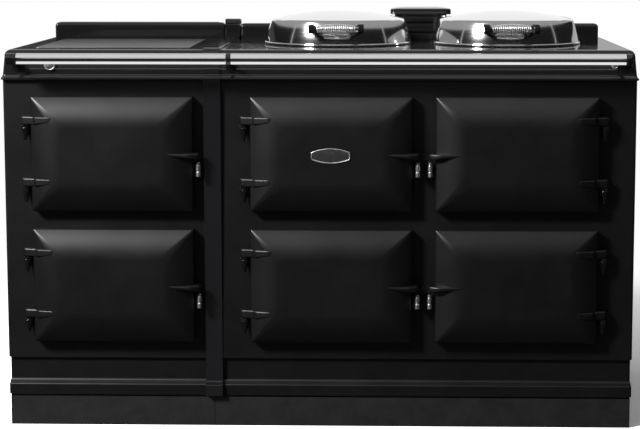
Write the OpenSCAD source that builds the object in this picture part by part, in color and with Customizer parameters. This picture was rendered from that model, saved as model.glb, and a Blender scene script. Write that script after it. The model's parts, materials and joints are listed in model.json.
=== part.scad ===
// Cast iron range cooker: a four-door heat-storage cooker with two lidded hotplates,
// joined to a two-door module with a warming plate.
// Millimetres. The origin is on the floor, midway across the front, and midway from
// the front plate's face to the cabinet's back. +X is right, +Y is back, +Z is up.

/* [Cabinet] */
// From the main cooker's sides in to its doors' hinged edges
main_side = 88.5; // [76:0.5:120]
// Gap between the main cooker's two columns of doors
column_gap = 54; // [48:1:70]
// From the module's outer side in to its doors' hinged edges
module_side = 69; // [60:1:100]
// Gap between the module's catches and the joint cover
catch_clear = 3.5; // [1:0.5:20]
// Gap between the module and the main cooker
unit_gap = 1; // [0.5:0.5:3]
// Depth from the front plate's face to the back sheet's outer face
cabinet_d = 600; // [585:5:680]
// Height of the plinth
plinth_h = 70; // [50:1:120]
// Thickness of the plinth's folded steel
plinth_t = 3; // [2:0.5:5]
// Width of the flange along the plinth's foot
plinth_flange = 30; // [15:1:60]
// Width of the tie across the plinth's foot
plinth_tie = 60; // [30:1:120]
// How far the plinth's front stands behind the front plate's face
plinth_setback = 4; // [0:1:40]
// Thickness of the base plate on the plinth
base_plate_t = 5; // [3:0.5:10]
// Height of the base cover
base_cover_h = 90; // [80:1:110]
// Wall of the base cover
base_cover_t = 6; // [4:0.5:10]
// Height of the moulding along the base cover's foot
base_moulding_h = 29; // [22:1:40]
// How far the base cover's flat face stands behind its moulding
base_step = 8; // [3:0.5:14]
// Height of the front plate
front_h = 661; // [645:1:720]
// Thickness of the front plate
front_t = 10; // [8:0.5:14]
// Radius of the front plate's outer upright edges
front_edge_r = 6; // [2:0.5:9]
// Thickness of the side and back sheets
sheet_t = 3; // [1.5:0.5:4]

/* [Top plate] */
// Height of the top plate's edge
top_h = 70; // [64:1:90]
// Wall of the top plate
top_wall = 12; // [8:0.5:16]
// How far the edge's lip stands out past the front plate
lip_out = 12; // [6:1:20]
// How far the edge's lip stands out past the sides
lip_side = 3; // [1:0.5:6]
// How far the top of the edge stands in from its lip
edge_inset = 9; // [6:1:16]
// Radius along the top of the edge
edge_r = 14; // [10:1:18]
// Height of the lip at the foot of the edge
lip_h = 6; // [4:0.5:10]
// Depth of the upstand bars at the back
upstand_d = 48; // [30:1:60]
// From the module's left side in to the end of its upstand
upstand_left_in = 20; // [20:1:60]
// From the main cooker's right side in to the end of its upstand
upstand_right_in = 25; // [20:1:60]
// Height of the module's upstand
upstand_module_h = 40; // [25:1:60]
// Height of the main cooker's upstand
upstand_main_h = 38; // [25:1:60]

/* [Joint cover] */
// Width of the cover over the joint between the units
cover_w = 40; // [30:1:40]
// How far the cover stands out from the front plate
cover_out = 10; // [6:0.5:14]
// Thickness of the cover over the top plate and its edge
cover_t = 4; // [3:0.5:6]
// Height of the end block at the back of the cover
cover_block_h = 50; // [40:1:70]

/* [Doors] */
// Width of each door
door_w = 378; // [366:1:386]
// Height of each door
door_h = 269; // [255:1:290]
// Thickness of the door at its rim
door_rim = 22; // [18:0.5:26]
// Thickness of the door at its raised middle
door_rise = 49; // [40:0.5:54]
// Width of the sloping border round the raised middle
door_bevel = 71; // [55:1:85]
// Radius along the door's front edge
door_edge_r = 6; // [3:0.5:8]
// Radius of the door's corners
door_corner_r = 6; // [3:0.5:12]
// Wall of the door casting
door_wall = 8; // [6:0.5:11]
// Height of the lower doors' middle above the front plate's foot
door_row = 178; // [170:1:190]
// Height from the lower doors' middle to the upper doors' middle
row_pitch = 311; // [302:1:330]
// How far the door overlaps the oven's mouth at each side
door_lap = 20; // [16:1:24]
// Thickness of the fibre seal round each mouth
seal_t = 3; // [2:0.5:5]
// Width of the fibre seal
seal_w = 9; // [6:0.5:14]
// Gap between the seal and the closed door
seal_gap = 0.3; // [0.2:0.1:1]
// Depth of the liner's plug in the oven's mouth
plug_d = 25; // [15:1:35]
// Gap all round the plug in the oven's mouth
plug_gap = 6; // [5:0.5:10]

/* [Door furniture] */
// From the door's edge out to the hinge pins' axis
hinge_out = 14.4; // [13:0.2:16]
// From the front plate's face out to the hinge pins' axis
hinge_front = 16; // [15.5:0.1:18]
// Diameter of the hinge pins
hinge_pin_d = 8; // [6:0.5:10]
// Radial clearance of the pins in the arms' eyes
hinge_fit = 0.06; // [0.03:0.01:0.1]
// Height of each hinge arm
arm_h = 21; // [16:1:26]
// Reach of the hinge arms from the pins' axis on to the door
arm_reach = 62; // [50:1:75]
// Height of the upper arms above the door's middle
arm_up = 78; // [60:1:90]
// Drop of the lower arms below the door's middle
arm_down = 67; // [55:1:80]
// Diameter of the posts under the arms
post_d = 18; // [14:0.5:20]
// Height of the posts under the arms
post_h = 17; // [10:1:26]
// Gap between a post and the arm that rides over it
post_gap = 0.3; // [0.2:0.1:0.6]
// Height of the latch rib
rib_h = 14; // [10:1:20]
// How far the latch rib overhangs the door's free edge
rib_out = 18; // [17:0.5:19]
// Drop of the latch rib's middle below the door's middle
rib_drop = 3; // [-6:1:12]
// Diameter of the chrome pull under the rib
pull_d = 11; // [8:0.5:12]
// Length of the chrome pull
pull_h = 34; // [28:1:42]
// Distance of the pull's axis past the door's free edge
pull_out = 12.5; // [12:0.5:13.5]
// Bare length of the pin between the rib and the pull
pull_drop = 8; // [4:1:14]
// Diameter of the pull's pin
pull_pin_d = 5; // [4:0.5:6]
// Gap between the pull and its catch on the front plate
catch_gap = 0.5; // [0.4:0.1:1]
// Width of the catch
catch_w = 15; // [13:0.5:18]
// Height of the catch
catch_h = 20; // [12:1:28]
// Length of the bare badge on the upper left door of the main cooker
badge_w = 91; // [60:1:110]
// Height of the badge
badge_h = 36; // [24:1:44]
// Thickness of the badge
badge_t = 2.5; // [1.5:0.5:4]

/* [Ovens] */
// Depth of the ovens behind the front plate
oven_d = 470; // [380:5:500]
// Wall of the oven castings
oven_wall = 8; // [5:0.5:12]
// Radius of the corners of the ovens and their mouths
mouth_r = 12; // [8:1:16]
// Height of the lowest runners above the oven's floor
runner_z = 40; // [30:1:60]
// Height from one runner to the next
runner_pitch = 55; // [45:1:60]
// Width of the runners on the oven's walls
runner_w = 9; // [6:1:14]
// Thickness of the runners
runner_t = 5; // [3:0.5:8]
// How far the runners stop short of the oven's mouth and back
runner_in = 30; // [20:1:60]
// Thickness of the grid shelves
shelf_t = 5; // [3:0.5:8]
// How far the shelves stop short of the oven's mouth and back
shelf_in = 35; // [25:1:70]
// Depth of the recess that holds the control panel
panel_recess = 55; // [50:1:90]
// Depth of the box behind the control panel
panel_box_d = 90; // [60:1:140]
// Diameter of the control knobs
knob_d = 40; // [30:1:50]
// Height of the control knobs
knob_h = 22; // [14:1:24]
// Distance between the control knobs
knob_pitch = 130; // [80:1:180]
// Diameter of the knobs' shafts
knob_shaft_d = 6; // [4:0.5:8]
// Radial clearance of the shafts in the panel
knob_fit = 0.06; // [0.03:0.01:0.1]

/* [Hotplates and lids] */
// Radius of the hotplates
hotplate_r = 167; // [150:1:167]
// From the main cooker's middle to each hotplate's middle
hotplate_off = 208; // [205:1:212]
// How far the hotplates stand above the top plate
hotplate_up = 6; // [3:0.5:8]
// Thickness of the hotplates' flange
hotplate_flange_t = 14; // [10:1:20]
// Radius of each lid at its rim
lid_r = 184; // [182:0.5:186]
// Height of the lid at its middle
lid_h = 80; // [76:1:88]
// Height of the lid's shoulder, where its side turns into its dome
lid_side_h = 61; // [56:1:64]
// How far the lid's side draws in from rim to shoulder
lid_taper = 21; // [16:1:26]
// Wall of the lid
lid_wall = 4; // [3:0.5:5]
// Gap between the closed lid's rim and the top plate
lid_gap = 0.3; // [0.2:0.1:1]
// Height of the lid's hinge axis above the top plate
lid_axis_z = 40; // [36:1:46]
// Distance of the lid's hinge axis behind the lid's middle
lid_axis_y = 205; // [203:1:208]
// Gap between the lid's rim and the hinge block behind it
block_clear = 4; // [3:0.5:6]
// Gap between the hinge blocks and the upstand behind them
block_gap = 30; // [10:1:40]
// Diameter of the lid's hinge pin
lid_pin_d = 12; // [8:0.5:14]
// Radial clearance of the lid's hinge pin
lid_fit = 0.06; // [0.03:0.01:0.1]
// Distance of the grip's axis in front of the lid's middle
grip_y = 212; // [208:1:216]
// Height of the grip's axis above the top plate
grip_z = 44; // [38:1:50]
// Half length of the wound part of the grip
grip_half = 46.5; // [40:0.5:50]
// Outer diameter of the grip at its ends
grip_end_d = 15; // [15:0.5:18]
// Outer diameter of the grip at its middle
grip_mid_d = 26; // [20:0.5:28]
// Turns of wire in the grip
grip_turns = 19; // [12:1:19]
// Diameter of the grip's wire
grip_wire_d = 4.2; // [3:0.1:4.2]
// Length of the bare straight end of the wire
grip_tail = 4.5; // [4.2:0.1:6]
// Width of the grip's posts
grip_post_w = 15; // [10:0.5:18]
// Diameter of the grip's posts at their front end
grip_post_d = 25; // [20:0.5:28]
// Diameter of the rod inside the grip
grip_rod_d = 6; // [4:0.5:6]

/* [Top furniture] */
// Width of the warming plate
warm_w = 366; // [340:1:380]
// Depth of the warming plate
warm_d = 392; // [360:1:400]
// Distance of the warming plate's middle in front of the cabinet's middle
warm_fwd = 29; // [20:1:36]
// Thickness of the warming plate
warm_t = 7; // [5:0.5:10]
// Depth of the recess that holds the warming plate
warm_recess = 6; // [4:0.5:7]
// Gap round the warming plate in its recess
warm_gap = 2; // [1:0.5:4]
// Width of the vent cowl
cowl_w = 155; // [130:1:156]
// Depth of the vent cowl
cowl_d = 95; // [80:1:96]
// Height of the vent cowl
cowl_h = 84; // [70:1:90]
// Gap between the vent cowl and the upstand behind it
cowl_gap = 5.5; // [3.5:0.5:6]
// Diameter of the handrails
rail_d = 25.5; // [22:0.5:30]
// Wall of the handrails' tube
rail_wall = 2; // [1.5:0.5:3]
// Distance of the rails' axis in front of the front plate's face
rail_out = 75; // [68:1:90]
// Height of the rails' axis below the top plate's surface
rail_drop = 17; // [14:1:22]
// Width of the bracket at the left rail's outer end
bracket_left_w = 20; // [12:1:26]
// Width of the bracket at the right rail's outer end
bracket_right_w = 13; // [12:1:20]
// Length of the brackets' spigots in the rails
spigot_l = 20; // [10:1:30]
// Diameter of the brackets' arms
bracket_arm_d = 14; // [10:1:18]
// Diameter of the flange at the foot of each arm
bracket_flange_d = 26; // [22:1:30]
// Drop from the rails' axis to the middle of the flanges
bracket_fall = 22; // [16:1:26]
// From the module's left side in to the end of its rail
rail_left_in = 50; // [40:1:80]
// From the main cooker's right side in to the end of its rail
rail_right_in = 37.5; // [30:0.5:80]
// Gap between the two rails
rail_gap = 11; // [8:1:20]
// From the module's left side in to the middle of its stud
stud_left_in = 113; // [90:1:140]
// From the main cooker's right side in to the middle of its stud
stud_right_in = 55; // [45:1:80]
// Diameter of the module's stud
stud_left_d = 27; // [20:1:30]
// Diameter of the main cooker's stud
stud_right_d = 16; // [12:1:24]
// Height of the studs' middle below the top plate's surface
stud_drop = 34; // [30:1:40]

/* [Hidden] */
$fn = 64;
eps = 0.01;
past = 1;

// Levels
base_z = plinth_h + base_plate_t;
front_z = base_z + base_cover_h;
lip_z = front_z + front_h;
top_z = lip_z + top_h;
under_z = top_z - top_wall;

// Heating elements
element_r = 5;
element_z = under_z - hotplate_flange_t - element_r - 0.3;

// Plan: each unit is as wide as its doors and what stands beside them
catch_room = pull_out + catch_w / 2 + catch_clear;
module_w = module_side + door_w + catch_room + (cover_w - unit_gap) / 2;
main_w = 2 * (main_side + door_w) + column_gap;
total_w = module_w + unit_gap + main_w;
left_x = -total_w / 2;
right_x = total_w / 2;
module_end_x = left_x + module_w;
main_start_x = module_end_x + unit_gap;
module_mid_x = left_x + module_w / 2;
main_mid_x = right_x - main_w / 2;
joint_x = (module_end_x + main_start_x) / 2;
front_y = -cabinet_d / 2;
back_y = cabinet_d / 2;
inner_front_y = front_y + front_t;
inner_back_y = back_y - sheet_t;
lip_y = front_y - lip_out;
hollow_side = edge_inset + top_wall - lip_side;
hollow_y1 = back_y - top_wall;

// Doors: the middle of each and the side its hinge is on, -1 left and 1 right
low_row_z = front_z + door_row;
high_row_z = low_row_z + row_pitch;
module_door_x = left_x + module_side + door_w / 2;
left_door_x = main_mid_x - (column_gap + door_w) / 2;
right_door_x = main_mid_x + (column_gap + door_w) / 2;
ROASTING = [right_door_x, high_row_z, 1];
BAKING = [right_door_x, low_row_z, 1];
SIMMERING = [left_door_x, low_row_z, -1];
CONTROL = [left_door_x, high_row_z, -1];
SLOW_COOK = [module_door_x, high_row_z, -1];
WARMING = [module_door_x, low_row_z, -1];
DOORS = [ROASTING, BAKING, SIMMERING, CONTROL, SLOW_COOK, WARMING];
OVENS = [ROASTING, BAKING, SIMMERING, SLOW_COOK, WARMING];
mouth_w = door_w - 2 * door_lap;
mouth_h = door_h - 2 * door_lap;
door_back_y = front_y - seal_t - seal_gap;
pocket_rim = door_lap - 4;
pocket_d = door_rim - door_wall;
plateau_wall = door_rise - door_wall;

// Hinge and latch, from the door's middle and its back face
axis_off = door_w / 2 + hinge_out;
axis_t = hinge_front - seal_t - seal_gap;
pull_off = door_w / 2 + pull_out;
pull_t = door_rim + 2;

// Lids: each stands in front of its hinge block, which stands in front of the upstand
upstand_y = back_y - upstand_d;
block_front = lid_r + block_clear;
block_d = 2 * (lid_axis_y - block_front);
lid_y = upstand_y - block_gap - block_front - block_d;
lid_mid_x = [main_mid_x - hotplate_off, main_mid_x + hotplate_off];
lid_z = top_z + lid_gap;
hole_r = hotplate_r + 1;
flange_r = hole_r + 10;
ring_w = 8;
ring_t = 3;
lug_w = 16;
lug_gap = 1;
block_half = 31;
eye_r = lid_pin_d / 2 + 8;
grip_post_x = grip_half + grip_tail;

// Rails
rail_z = top_z - rail_drop;
rail_y = front_y - rail_out;
cover_x = [joint_x - cover_w / 2, joint_x + cover_w / 2];
rail_spans = [[left_x + rail_left_in, joint_x + cover_w],
    [joint_x + cover_w + rail_gap, right_x - rail_right_in]];

// ---------------------------------------------------------------- shared shapes

// A drawing of (y, z) carried along X
module along_x(x0, x1) {
    translate([x0, 0, 0])
        rotate([90, 0, 90])
            linear_extrude(x1 - x0)
                children();
}

// A drawing of (x, z) carried along Y
module along_y(y0, y1) {
    translate([0, y1, 0])
        rotate([90, 0, 0])
            linear_extrude(y1 - y0)
                children();
}

// A rectangle about the origin with round corners
module round_rect(w, h, r) {
    square([w - 2 * r, h], center = true);
    square([w, h - 2 * r], center = true);
    for (sx = [-1, 1], sy = [-1, 1])
        translate([sx * (w / 2 - r), sy * (h / 2 - r)])
            circle(r);
}

// Points of an arc round c, from angle a0 to a1
function arc(c, r, a0, a1, steps = 5) =
    [for (i = [0:steps]) let (a = a0 + (a1 - a0) * i / steps) c + r * [cos(a), sin(a)]];

// Mirrors a list of (x, z) points to the other side of x = 0, in reverse order
function mirrored(pts) = [for (i = [len(pts) - 1:-1:0]) [-pts[i][0], pts[i][1]]];

// ---------------------------------------------------------------- casing

// The folded steel plinth of one unit, with a flange turned in along the floor, a tie
// across its middle, and the plate that closes it on top
module base_frame(x0, x1) {
    y0 = front_y + plinth_setback;
    w = x1 - x0;
    d = back_y - y0;
    difference() {
        translate([x0, y0, 0])
            cube([w, d, plinth_h]);
        translate([x0 + plinth_t, y0 + plinth_t, plinth_t])
            cube([w - 2 * plinth_t, d - 2 * plinth_t, plinth_h]);
        for (y = [[y0 + plinth_flange, -plinth_tie / 2],
            [plinth_tie / 2, back_y - plinth_flange]])
            translate([x0 + plinth_flange, y[0], -past])
                cube([w - 2 * plinth_flange, y[1] - y[0], plinth_h]);
    }
    translate([x0, front_y + base_step, plinth_h])
        cube([w, cabinet_d - base_step, base_plate_t]);
}

module base_frames() {
    color([0.15, 0.15, 0.15]) {
        base_frame(left_x + lip_side, module_end_x);
        base_frame(main_start_x, right_x - lip_side);
    }
}

// Half of the base cover's section: how far in it stands at each height
function base_edge(step) = concat(
    [[0, base_z], [0, base_z + base_moulding_h - 6]],
    arc([step / 2, base_z + base_moulding_h - 6], step / 2, 180, 110, 4),
    arc([0, base_z + base_moulding_h + 10], step, -60, 0, 4),
    [[step, front_z]]);

cover_side = lip_side + base_cover_t;
cover_front_y = front_y + base_step + base_cover_t;

module base_cover(x0, x1) {
    front = [for (p = base_edge(base_step)) [front_y + p[0], p[1]]];
    side = [for (p = base_edge(lip_side)) [x0 + p[0], p[1]]];
    far = [for (p = base_edge(lip_side)) [x1 - p[0], p[1]]];
    difference() {
        intersection() {
            along_x(x0, x1)
                polygon(concat(front, [[inner_back_y, front_z], [inner_back_y, base_z]]));
            along_y(front_y, inner_back_y)
                polygon(concat(side, [for (i = [len(far) - 1:-1:0]) far[i]]));
        }
        translate([x0 + cover_side, cover_front_y, base_z - past])
            cube([x1 - x0 - 2 * cover_side, cabinet_d, base_cover_h + 2 * past]);
    }
}

module base_covers() {
    color([0.1, 0.1, 0.1]) {
        base_cover(left_x, module_end_x);
        base_cover(main_start_x, right_x);
    }
}

// A front plate with round outer upright edges and a mouth for each door
module front_plate(x0, x1, round_left, doors) {
    r = front_edge_r;
    rounded = round_left
        ? concat([[x0, inner_front_y]], arc([x0 + r, front_y + r], r, 180, 270),
            [[x1, front_y], [x1, inner_front_y]])
        : concat([[x0, inner_front_y], [x0, front_y]],
            arc([x1 - r, front_y + r], r, 270, 360), [[x1, inner_front_y]]);
    difference() {
        translate([0, 0, front_z])
            linear_extrude(front_h)
                polygon(rounded);
        for (d = doors)
            translate([d[0], 0, d[1]])
                along_y(front_y - past, inner_front_y + past)
                    round_rect(mouth_w, mouth_h, mouth_r);
    }
}

module front_plate_module() {
    color([0.1, 0.1, 0.1])
        front_plate(left_x, module_end_x, true, [SLOW_COOK, WARMING]);
}

module front_plate_main() {
    color([0.1, 0.1, 0.1])
        front_plate(main_start_x, right_x, false, [ROASTING, BAKING, SIMMERING, CONTROL]);
}

gland_x = main_mid_x;
gland_z = front_z + 60;
gland_r = 11;
gland_body_r = 16;

module side_sheets() {
    color([0.55, 0.56, 0.57])
        for (x = [left_x, module_end_x - sheet_t, main_start_x, right_x - sheet_t])
            translate([x, inner_front_y, front_z])
                cube([sheet_t, inner_back_y - inner_front_y, front_h]);
}

module back_sheets() {
    color([0.55, 0.56, 0.57]) {
        translate([left_x, inner_back_y, base_z])
            cube([module_w, sheet_t, lip_z - base_z]);
        difference() {
            translate([main_start_x, inner_back_y, base_z])
                cube([main_w, sheet_t, lip_z - base_z]);
            translate([gland_x, inner_back_y - past, gland_z])
                rotate([-90, 0, 0])
                    cylinder(r = gland_r, h = sheet_t + 2 * past);
        }
    }
}

// ---------------------------------------------------------------- ovens

oven_back_y = inner_front_y + oven_d + oven_wall;
box_w = mouth_w + 2 * oven_wall;
box_h = mouth_h + 2 * oven_wall;
runner_root = runner_w + oven_wall / 2;
panel_y = inner_front_y + panel_recess;
control_back_y = panel_y + panel_box_d;

// An open-fronted casting with three pairs of shelf runners
module oven(d) {
    translate([d[0], 0, d[1]]) {
        difference() {
            along_y(inner_front_y, oven_back_y)
                square([box_w, box_h], center = true);
            along_y(inner_front_y - past, oven_back_y - oven_wall)
                round_rect(mouth_w, mouth_h, mouth_r);
        }
        for (side = [-1, 1], n = [0:2])
            translate([side * (mouth_w / 2 - runner_w) - (side < 0 ? runner_root : 0),
                inner_front_y + runner_in, -mouth_h / 2 + runner_z + n * runner_pitch])
                cube([runner_root, oven_d - 2 * runner_in, runner_t]);
    }
}

module roasting_oven() {
    color([0.22, 0.22, 0.24]) oven(ROASTING);
}

module baking_oven() {
    color([0.22, 0.22, 0.24]) oven(BAKING);
}

module simmering_oven() {
    color([0.22, 0.22, 0.24]) oven(SIMMERING);
}

module slow_cook_oven() {
    color([0.22, 0.22, 0.24]) oven(SLOW_COOK);
}

module warming_oven() {
    color([0.22, 0.22, 0.24]) oven(WARMING);
}

// A grid shelf: a flat frame with a row of bars
module shelf() {
    w = mouth_w - 2;
    d = oven_d - 2 * shelf_in;
    frame = 10;
    bars = 11;
    bar_w = 5;
    pitch = (w - 2 * frame + bar_w) / bars;
    linear_extrude(shelf_t)
        difference() {
            square([w, d], center = true);
            for (n = [0:bars - 1])
                translate([-w / 2 + frame + n * pitch, -d / 2 + frame])
                    square([pitch - bar_w, d - 2 * frame]);
        }
}

module oven_shelves() {
    color([0.7, 0.7, 0.72])
        for (d = OVENS)
            translate([d[0], inner_front_y + oven_d / 2,
                d[1] - mouth_h / 2 + runner_z + runner_t])
                shelf();
}

// The recessed panel behind the control door, with a sealed box behind it
module control_panel() {
    color([0.3, 0.3, 0.32])
        translate([CONTROL[0], 0, CONTROL[1]])
            difference() {
                along_y(inner_front_y, control_back_y)
                    square([box_w, box_h], center = true);
                along_y(inner_front_y - past, panel_y)
                    round_rect(mouth_w, mouth_h, mouth_r);
                along_y(panel_y + sheet_t, control_back_y - sheet_t)
                    square([mouth_w, mouth_h], center = true);
                for (side = [-1, 1])
                    translate([side * knob_pitch / 2, panel_y - past, 0])
                        rotate([-90, 0, 0])
                            cylinder(r = knob_shaft_d / 2 + knob_fit,
                                h = sheet_t + 2 * past);
            }
}

// A round knob with a pointer rib, and the shaft that it turns on
module knob(side) {
    color([0.08, 0.08, 0.08])
        translate([CONTROL[0] + side * knob_pitch / 2, panel_y - 0.5, CONTROL[1]])
            rotate([90, 0, 0]) {
                rotate_extrude()
                    polygon(concat([[0, 0], [knob_d / 2, 0], [knob_d / 2, 5],
                        [knob_d / 2 - 4, 7]],
                        arc([knob_d / 2 - 7, knob_h - 3], 3, 0, 90),
                        [[0, knob_h]]));
                translate([-3, 0, knob_h - eps])
                    cube([6, knob_d / 2 - 6, 2]);
                translate([0, 0, -sheet_t - 8])
                    cylinder(d = knob_shaft_d, h = sheet_t + 8 + eps);
            }
}

module knob_left() {
    knob(-1);
}

module knob_right() {
    knob(1);
}

// The filling of one unit: inside the base cover, between the sheets round the ovens,
// and up into the hollow of the top plate, from hollow_x0 to hollow_x1
module filling(x0, x1, hollow_x0, hollow_x1, doors) {
    difference() {
        union() {
            translate([x0 + cover_side, cover_front_y, base_z])
                cube([x1 - x0 - 2 * cover_side, inner_back_y - cover_front_y, base_cover_h]);
            translate([x0 + sheet_t, inner_front_y, front_z])
                cube([x1 - x0 - 2 * sheet_t, inner_back_y - inner_front_y, front_h]);
            translate([hollow_x0, inner_front_y, lip_z - eps])
                cube([hollow_x1 - hollow_x0, hollow_y1 - inner_front_y,
                    under_z - lip_z + eps]);
        }
        for (d = doors)
            translate([d[0], 0, d[1]])
                along_y(inner_front_y - past,
                    d == CONTROL ? control_back_y : oven_back_y)
                    square([box_w, box_h], center = true);
    }
}

module insulation() {
    color([0.75, 0.68, 0.5]) {
        filling(left_x, module_end_x, left_x + hollow_side, module_end_x - top_wall,
            [SLOW_COOK, WARMING]);
        difference() {
            filling(main_start_x, right_x, main_start_x + top_wall, right_x - hollow_side,
                [ROASTING, BAKING, SIMMERING, CONTROL]);
            translate([gland_x, inner_back_y - 40, gland_z])
                rotate([-90, 0, 0])
                    cylinder(r = gland_body_r, h = 40 + past);
            for (x = lid_mid_x)
                translate([x, lid_y, element_z - element_r])
                    cylinder(r = flange_r, h = top_h);
        }
    }
}

// ---------------------------------------------------------------- top plates

// The top plate's moulded edge: how far in it stands from the lip, at each height
function top_edge() = concat(
    [[0, lip_z], [0, lip_z + lip_h - 2]],
    arc([2, lip_z + lip_h - 2], 2, 180, 100, 3),
    [[5, lip_z + lip_h + 8]],
    arc([edge_inset + edge_r, top_z - edge_r], edge_r, 175, 90, 6));

// The outside of a top plate, with its moulded edge in front and at one side
module top_block(x0, x1, edge_left) {
    front = [for (p = top_edge()) [lip_y + p[0], p[1]]];
    side = edge_left ? [for (p = top_edge()) [x0 - lip_side + p[0], p[1]]]
        : [for (p = top_edge()) [x1 + lip_side - p[0], p[1]]];
    far = edge_left ? x1 : x0;
    intersection() {
        along_x(x0 - lip_side, x1 + lip_side)
            polygon(concat(front, [[back_y, top_z], [back_y, lip_z]]));
        along_y(lip_y, back_y)
            polygon(concat(side, [[far, top_z], [far, lip_z]]));
    }
}

// The hollow under a top plate, from x0 to x1
module top_hollow(x0, x1) {
    translate([x0, inner_front_y, lip_z - past])
        cube([x1 - x0, hollow_y1 - inner_front_y, under_z - lip_z + past]);
}

module top_plate_module() {
    color([0.05, 0.05, 0.05])
        difference() {
            top_block(left_x, module_end_x, true);
            top_hollow(left_x + hollow_side, module_end_x - top_wall);
            translate([module_mid_x, -warm_fwd, top_z - warm_recess])
                linear_extrude(warm_recess + past)
                    round_rect(warm_w + 2 * warm_gap, warm_d + 2 * warm_gap, 10);
        }
}

module top_plate_main() {
    color([0.05, 0.05, 0.05])
        difference() {
            top_block(main_start_x, right_x, false);
            top_hollow(main_start_x + top_wall, right_x - hollow_side);
            for (x = lid_mid_x)
                translate([x, lid_y, under_z - past])
                    cylinder(r = hole_r, h = top_wall + 2 * past);
        }
}

module warming_plate() {
    color([0.5, 0.5, 0.5])
        translate([module_mid_x, -warm_fwd, top_z - warm_recess])
            linear_extrude(warm_t)
                round_rect(warm_w, warm_d, 8);
}

// The cover over the joint: a strip that follows the front, the edge and the top,
// with a block at its back end
module joint_cover() {
    foot = [for (p = base_edge(base_step)) [front_y + p[0], p[1]]];
    edge = [for (p = top_edge()) [lip_y + p[0], p[1]]];
    foot_out = [for (p = foot) [p[0] - cover_out, p[1]]];
    edge_out = [for (p = edge) [p[0] - cover_t, max(p[1] + cover_t * (p[1] - lip_z) / top_h,
        lip_z - cover_t)]];
    block_y = upstand_y - 3;
    block_r = 12;
    skin = concat(foot, [[front_y, front_z], [front_y, lip_z]], edge, [[block_y, top_z]]);
    shell = concat(foot_out, [[front_y - cover_out, front_z],
        [front_y - cover_out, lip_z - cover_t - 2]], edge_out,
        [[block_y, top_z + cover_t]]);
    color([0.06, 0.06, 0.06]) {
        along_x(cover_x[0], cover_x[1])
            polygon(concat(shell, [for (i = [len(skin) - 1:-1:0]) skin[i]]));
        along_x(cover_x[0], cover_x[1])
            polygon(concat([[block_y, top_z]],
                arc([block_y + block_r, top_z + cover_block_h - block_r], block_r, 180, 90),
                arc([back_y - block_r, top_z + cover_block_h - block_r], block_r, 90, 0),
                [[back_y, top_z]]));
    }
}

// A bar along the back of a top plate, with a rounded top and rounded ends
module upstand(x0, x1, h) {
    r = 10;
    intersection() {
        along_x(x0, x1)
            polygon(concat([[upstand_y, top_z]],
                arc([upstand_y + r, top_z + h - r], r, 180, 90),
                arc([back_y - r, top_z + h - r], r, 90, 0), [[back_y, top_z]]));
        along_y(upstand_y, back_y)
            polygon(concat([[x0, top_z]], arc([x0 + r, top_z + h - r], r, 180, 90),
                arc([x1 - r, top_z + h - r], r, 90, 0), [[x1, top_z]]));
    }
}

module upstands() {
    color([0.05, 0.05, 0.05]) {
        upstand(left_x + upstand_left_in, cover_x[0], upstand_module_h);
        upstand(cover_x[1], right_x - upstand_right_in, upstand_main_h);
    }
}

// ---------------------------------------------------------------- hotplates

module hotplates() {
    color([0.3, 0.3, 0.3])
        for (x = lid_mid_x)
            translate([x, lid_y, 0]) {
                translate([0, 0, under_z - eps])
                    cylinder(r = hotplate_r, h = top_wall + hotplate_up);
                translate([0, 0, under_z - hotplate_flange_t])
                    cylinder(r = flange_r, h = hotplate_flange_t);
            }
}

module hotplate_rings() {
    color([0.8, 0.8, 0.8])
        for (x = lid_mid_x)
            translate([x, lid_y, top_z])
                rotate_extrude()
                    translate([hole_r, 0])
                        square([ring_w, ring_t]);
}

// The heating element under each hotplate: a ring of tube
module hotplate_elements() {
    color([0.45, 0.3, 0.25])
        for (x = lid_mid_x)
            translate([x, lid_y, element_z])
                rotate_extrude()
                    translate([hotplate_r * 0.6, 0])
                        circle(element_r);
}

// ---------------------------------------------------------------- lids

// The lid's outer section, as radius and height above its rim
function lid_section() =
    let (dome_rise = lid_h - lid_side_h, r0 = lid_r - lid_taper)
    concat([[lid_r - 2, 0]], arc([lid_r - 3, 3], 3, 300, 420, 4),
        [[lid_r - 4.5, 8], [lid_r - lid_taper * 0.43, lid_side_h * 0.6],
            [lid_r - lid_taper * 0.57, lid_side_h * 0.8],
            [r0 + 2.5, lid_side_h - 1.6]],
        [for (i = [0:8]) let (r = r0 * (1 - i / 8))
            [r, lid_side_h + dome_rise * (1 - pow(r / r0, 2))]]);

module lid_solid() {
    rotate_extrude()
        polygon(concat([[0, 0]], lid_section()));
}

module lid_inside() {
    translate([0, 0, -lid_wall])
        rotate_extrude()
            polygon(concat([[0, 0], [lid_r - 3 - lid_wall, 0]],
                [for (p = lid_section()) if (p[1] > lid_wall) [max(0, p[0] - lid_wall), p[1]]]));
}

// The pair of lugs that carry the lid on its hinge pin
module lid_lugs() {
    for (side = [-1, 1])
        translate([side * (block_half + lug_gap + lug_w / 2) - lug_w / 2, 0, lid_axis_z - lid_gap]) {
            translate([0, lid_axis_y, 0])
                rotate([0, 90, 0])
                    cylinder(r = eye_r, h = lug_w);
            translate([0, lid_r - lid_taper - 10, -eye_r])
                cube([lug_w, lid_axis_y - lid_r + lid_taper + 10, 2 * eye_r - 4]);
        }
}

module lid(n) {
    color([0.75, 0.76, 0.78])
        translate([lid_mid_x[n], lid_y, lid_z])
            difference() {
                union() {
                    lid_solid();
                    lid_lugs();
                }
                lid_inside();
                translate([-100, lid_axis_y, lid_axis_z - lid_gap])
                    rotate([0, 90, 0])
                        cylinder(r = lid_pin_d / 2 + lid_fit, h = 200);
            }
}

module lid_left() {
    lid(0);
}

module lid_right() {
    lid(1);
}

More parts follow.
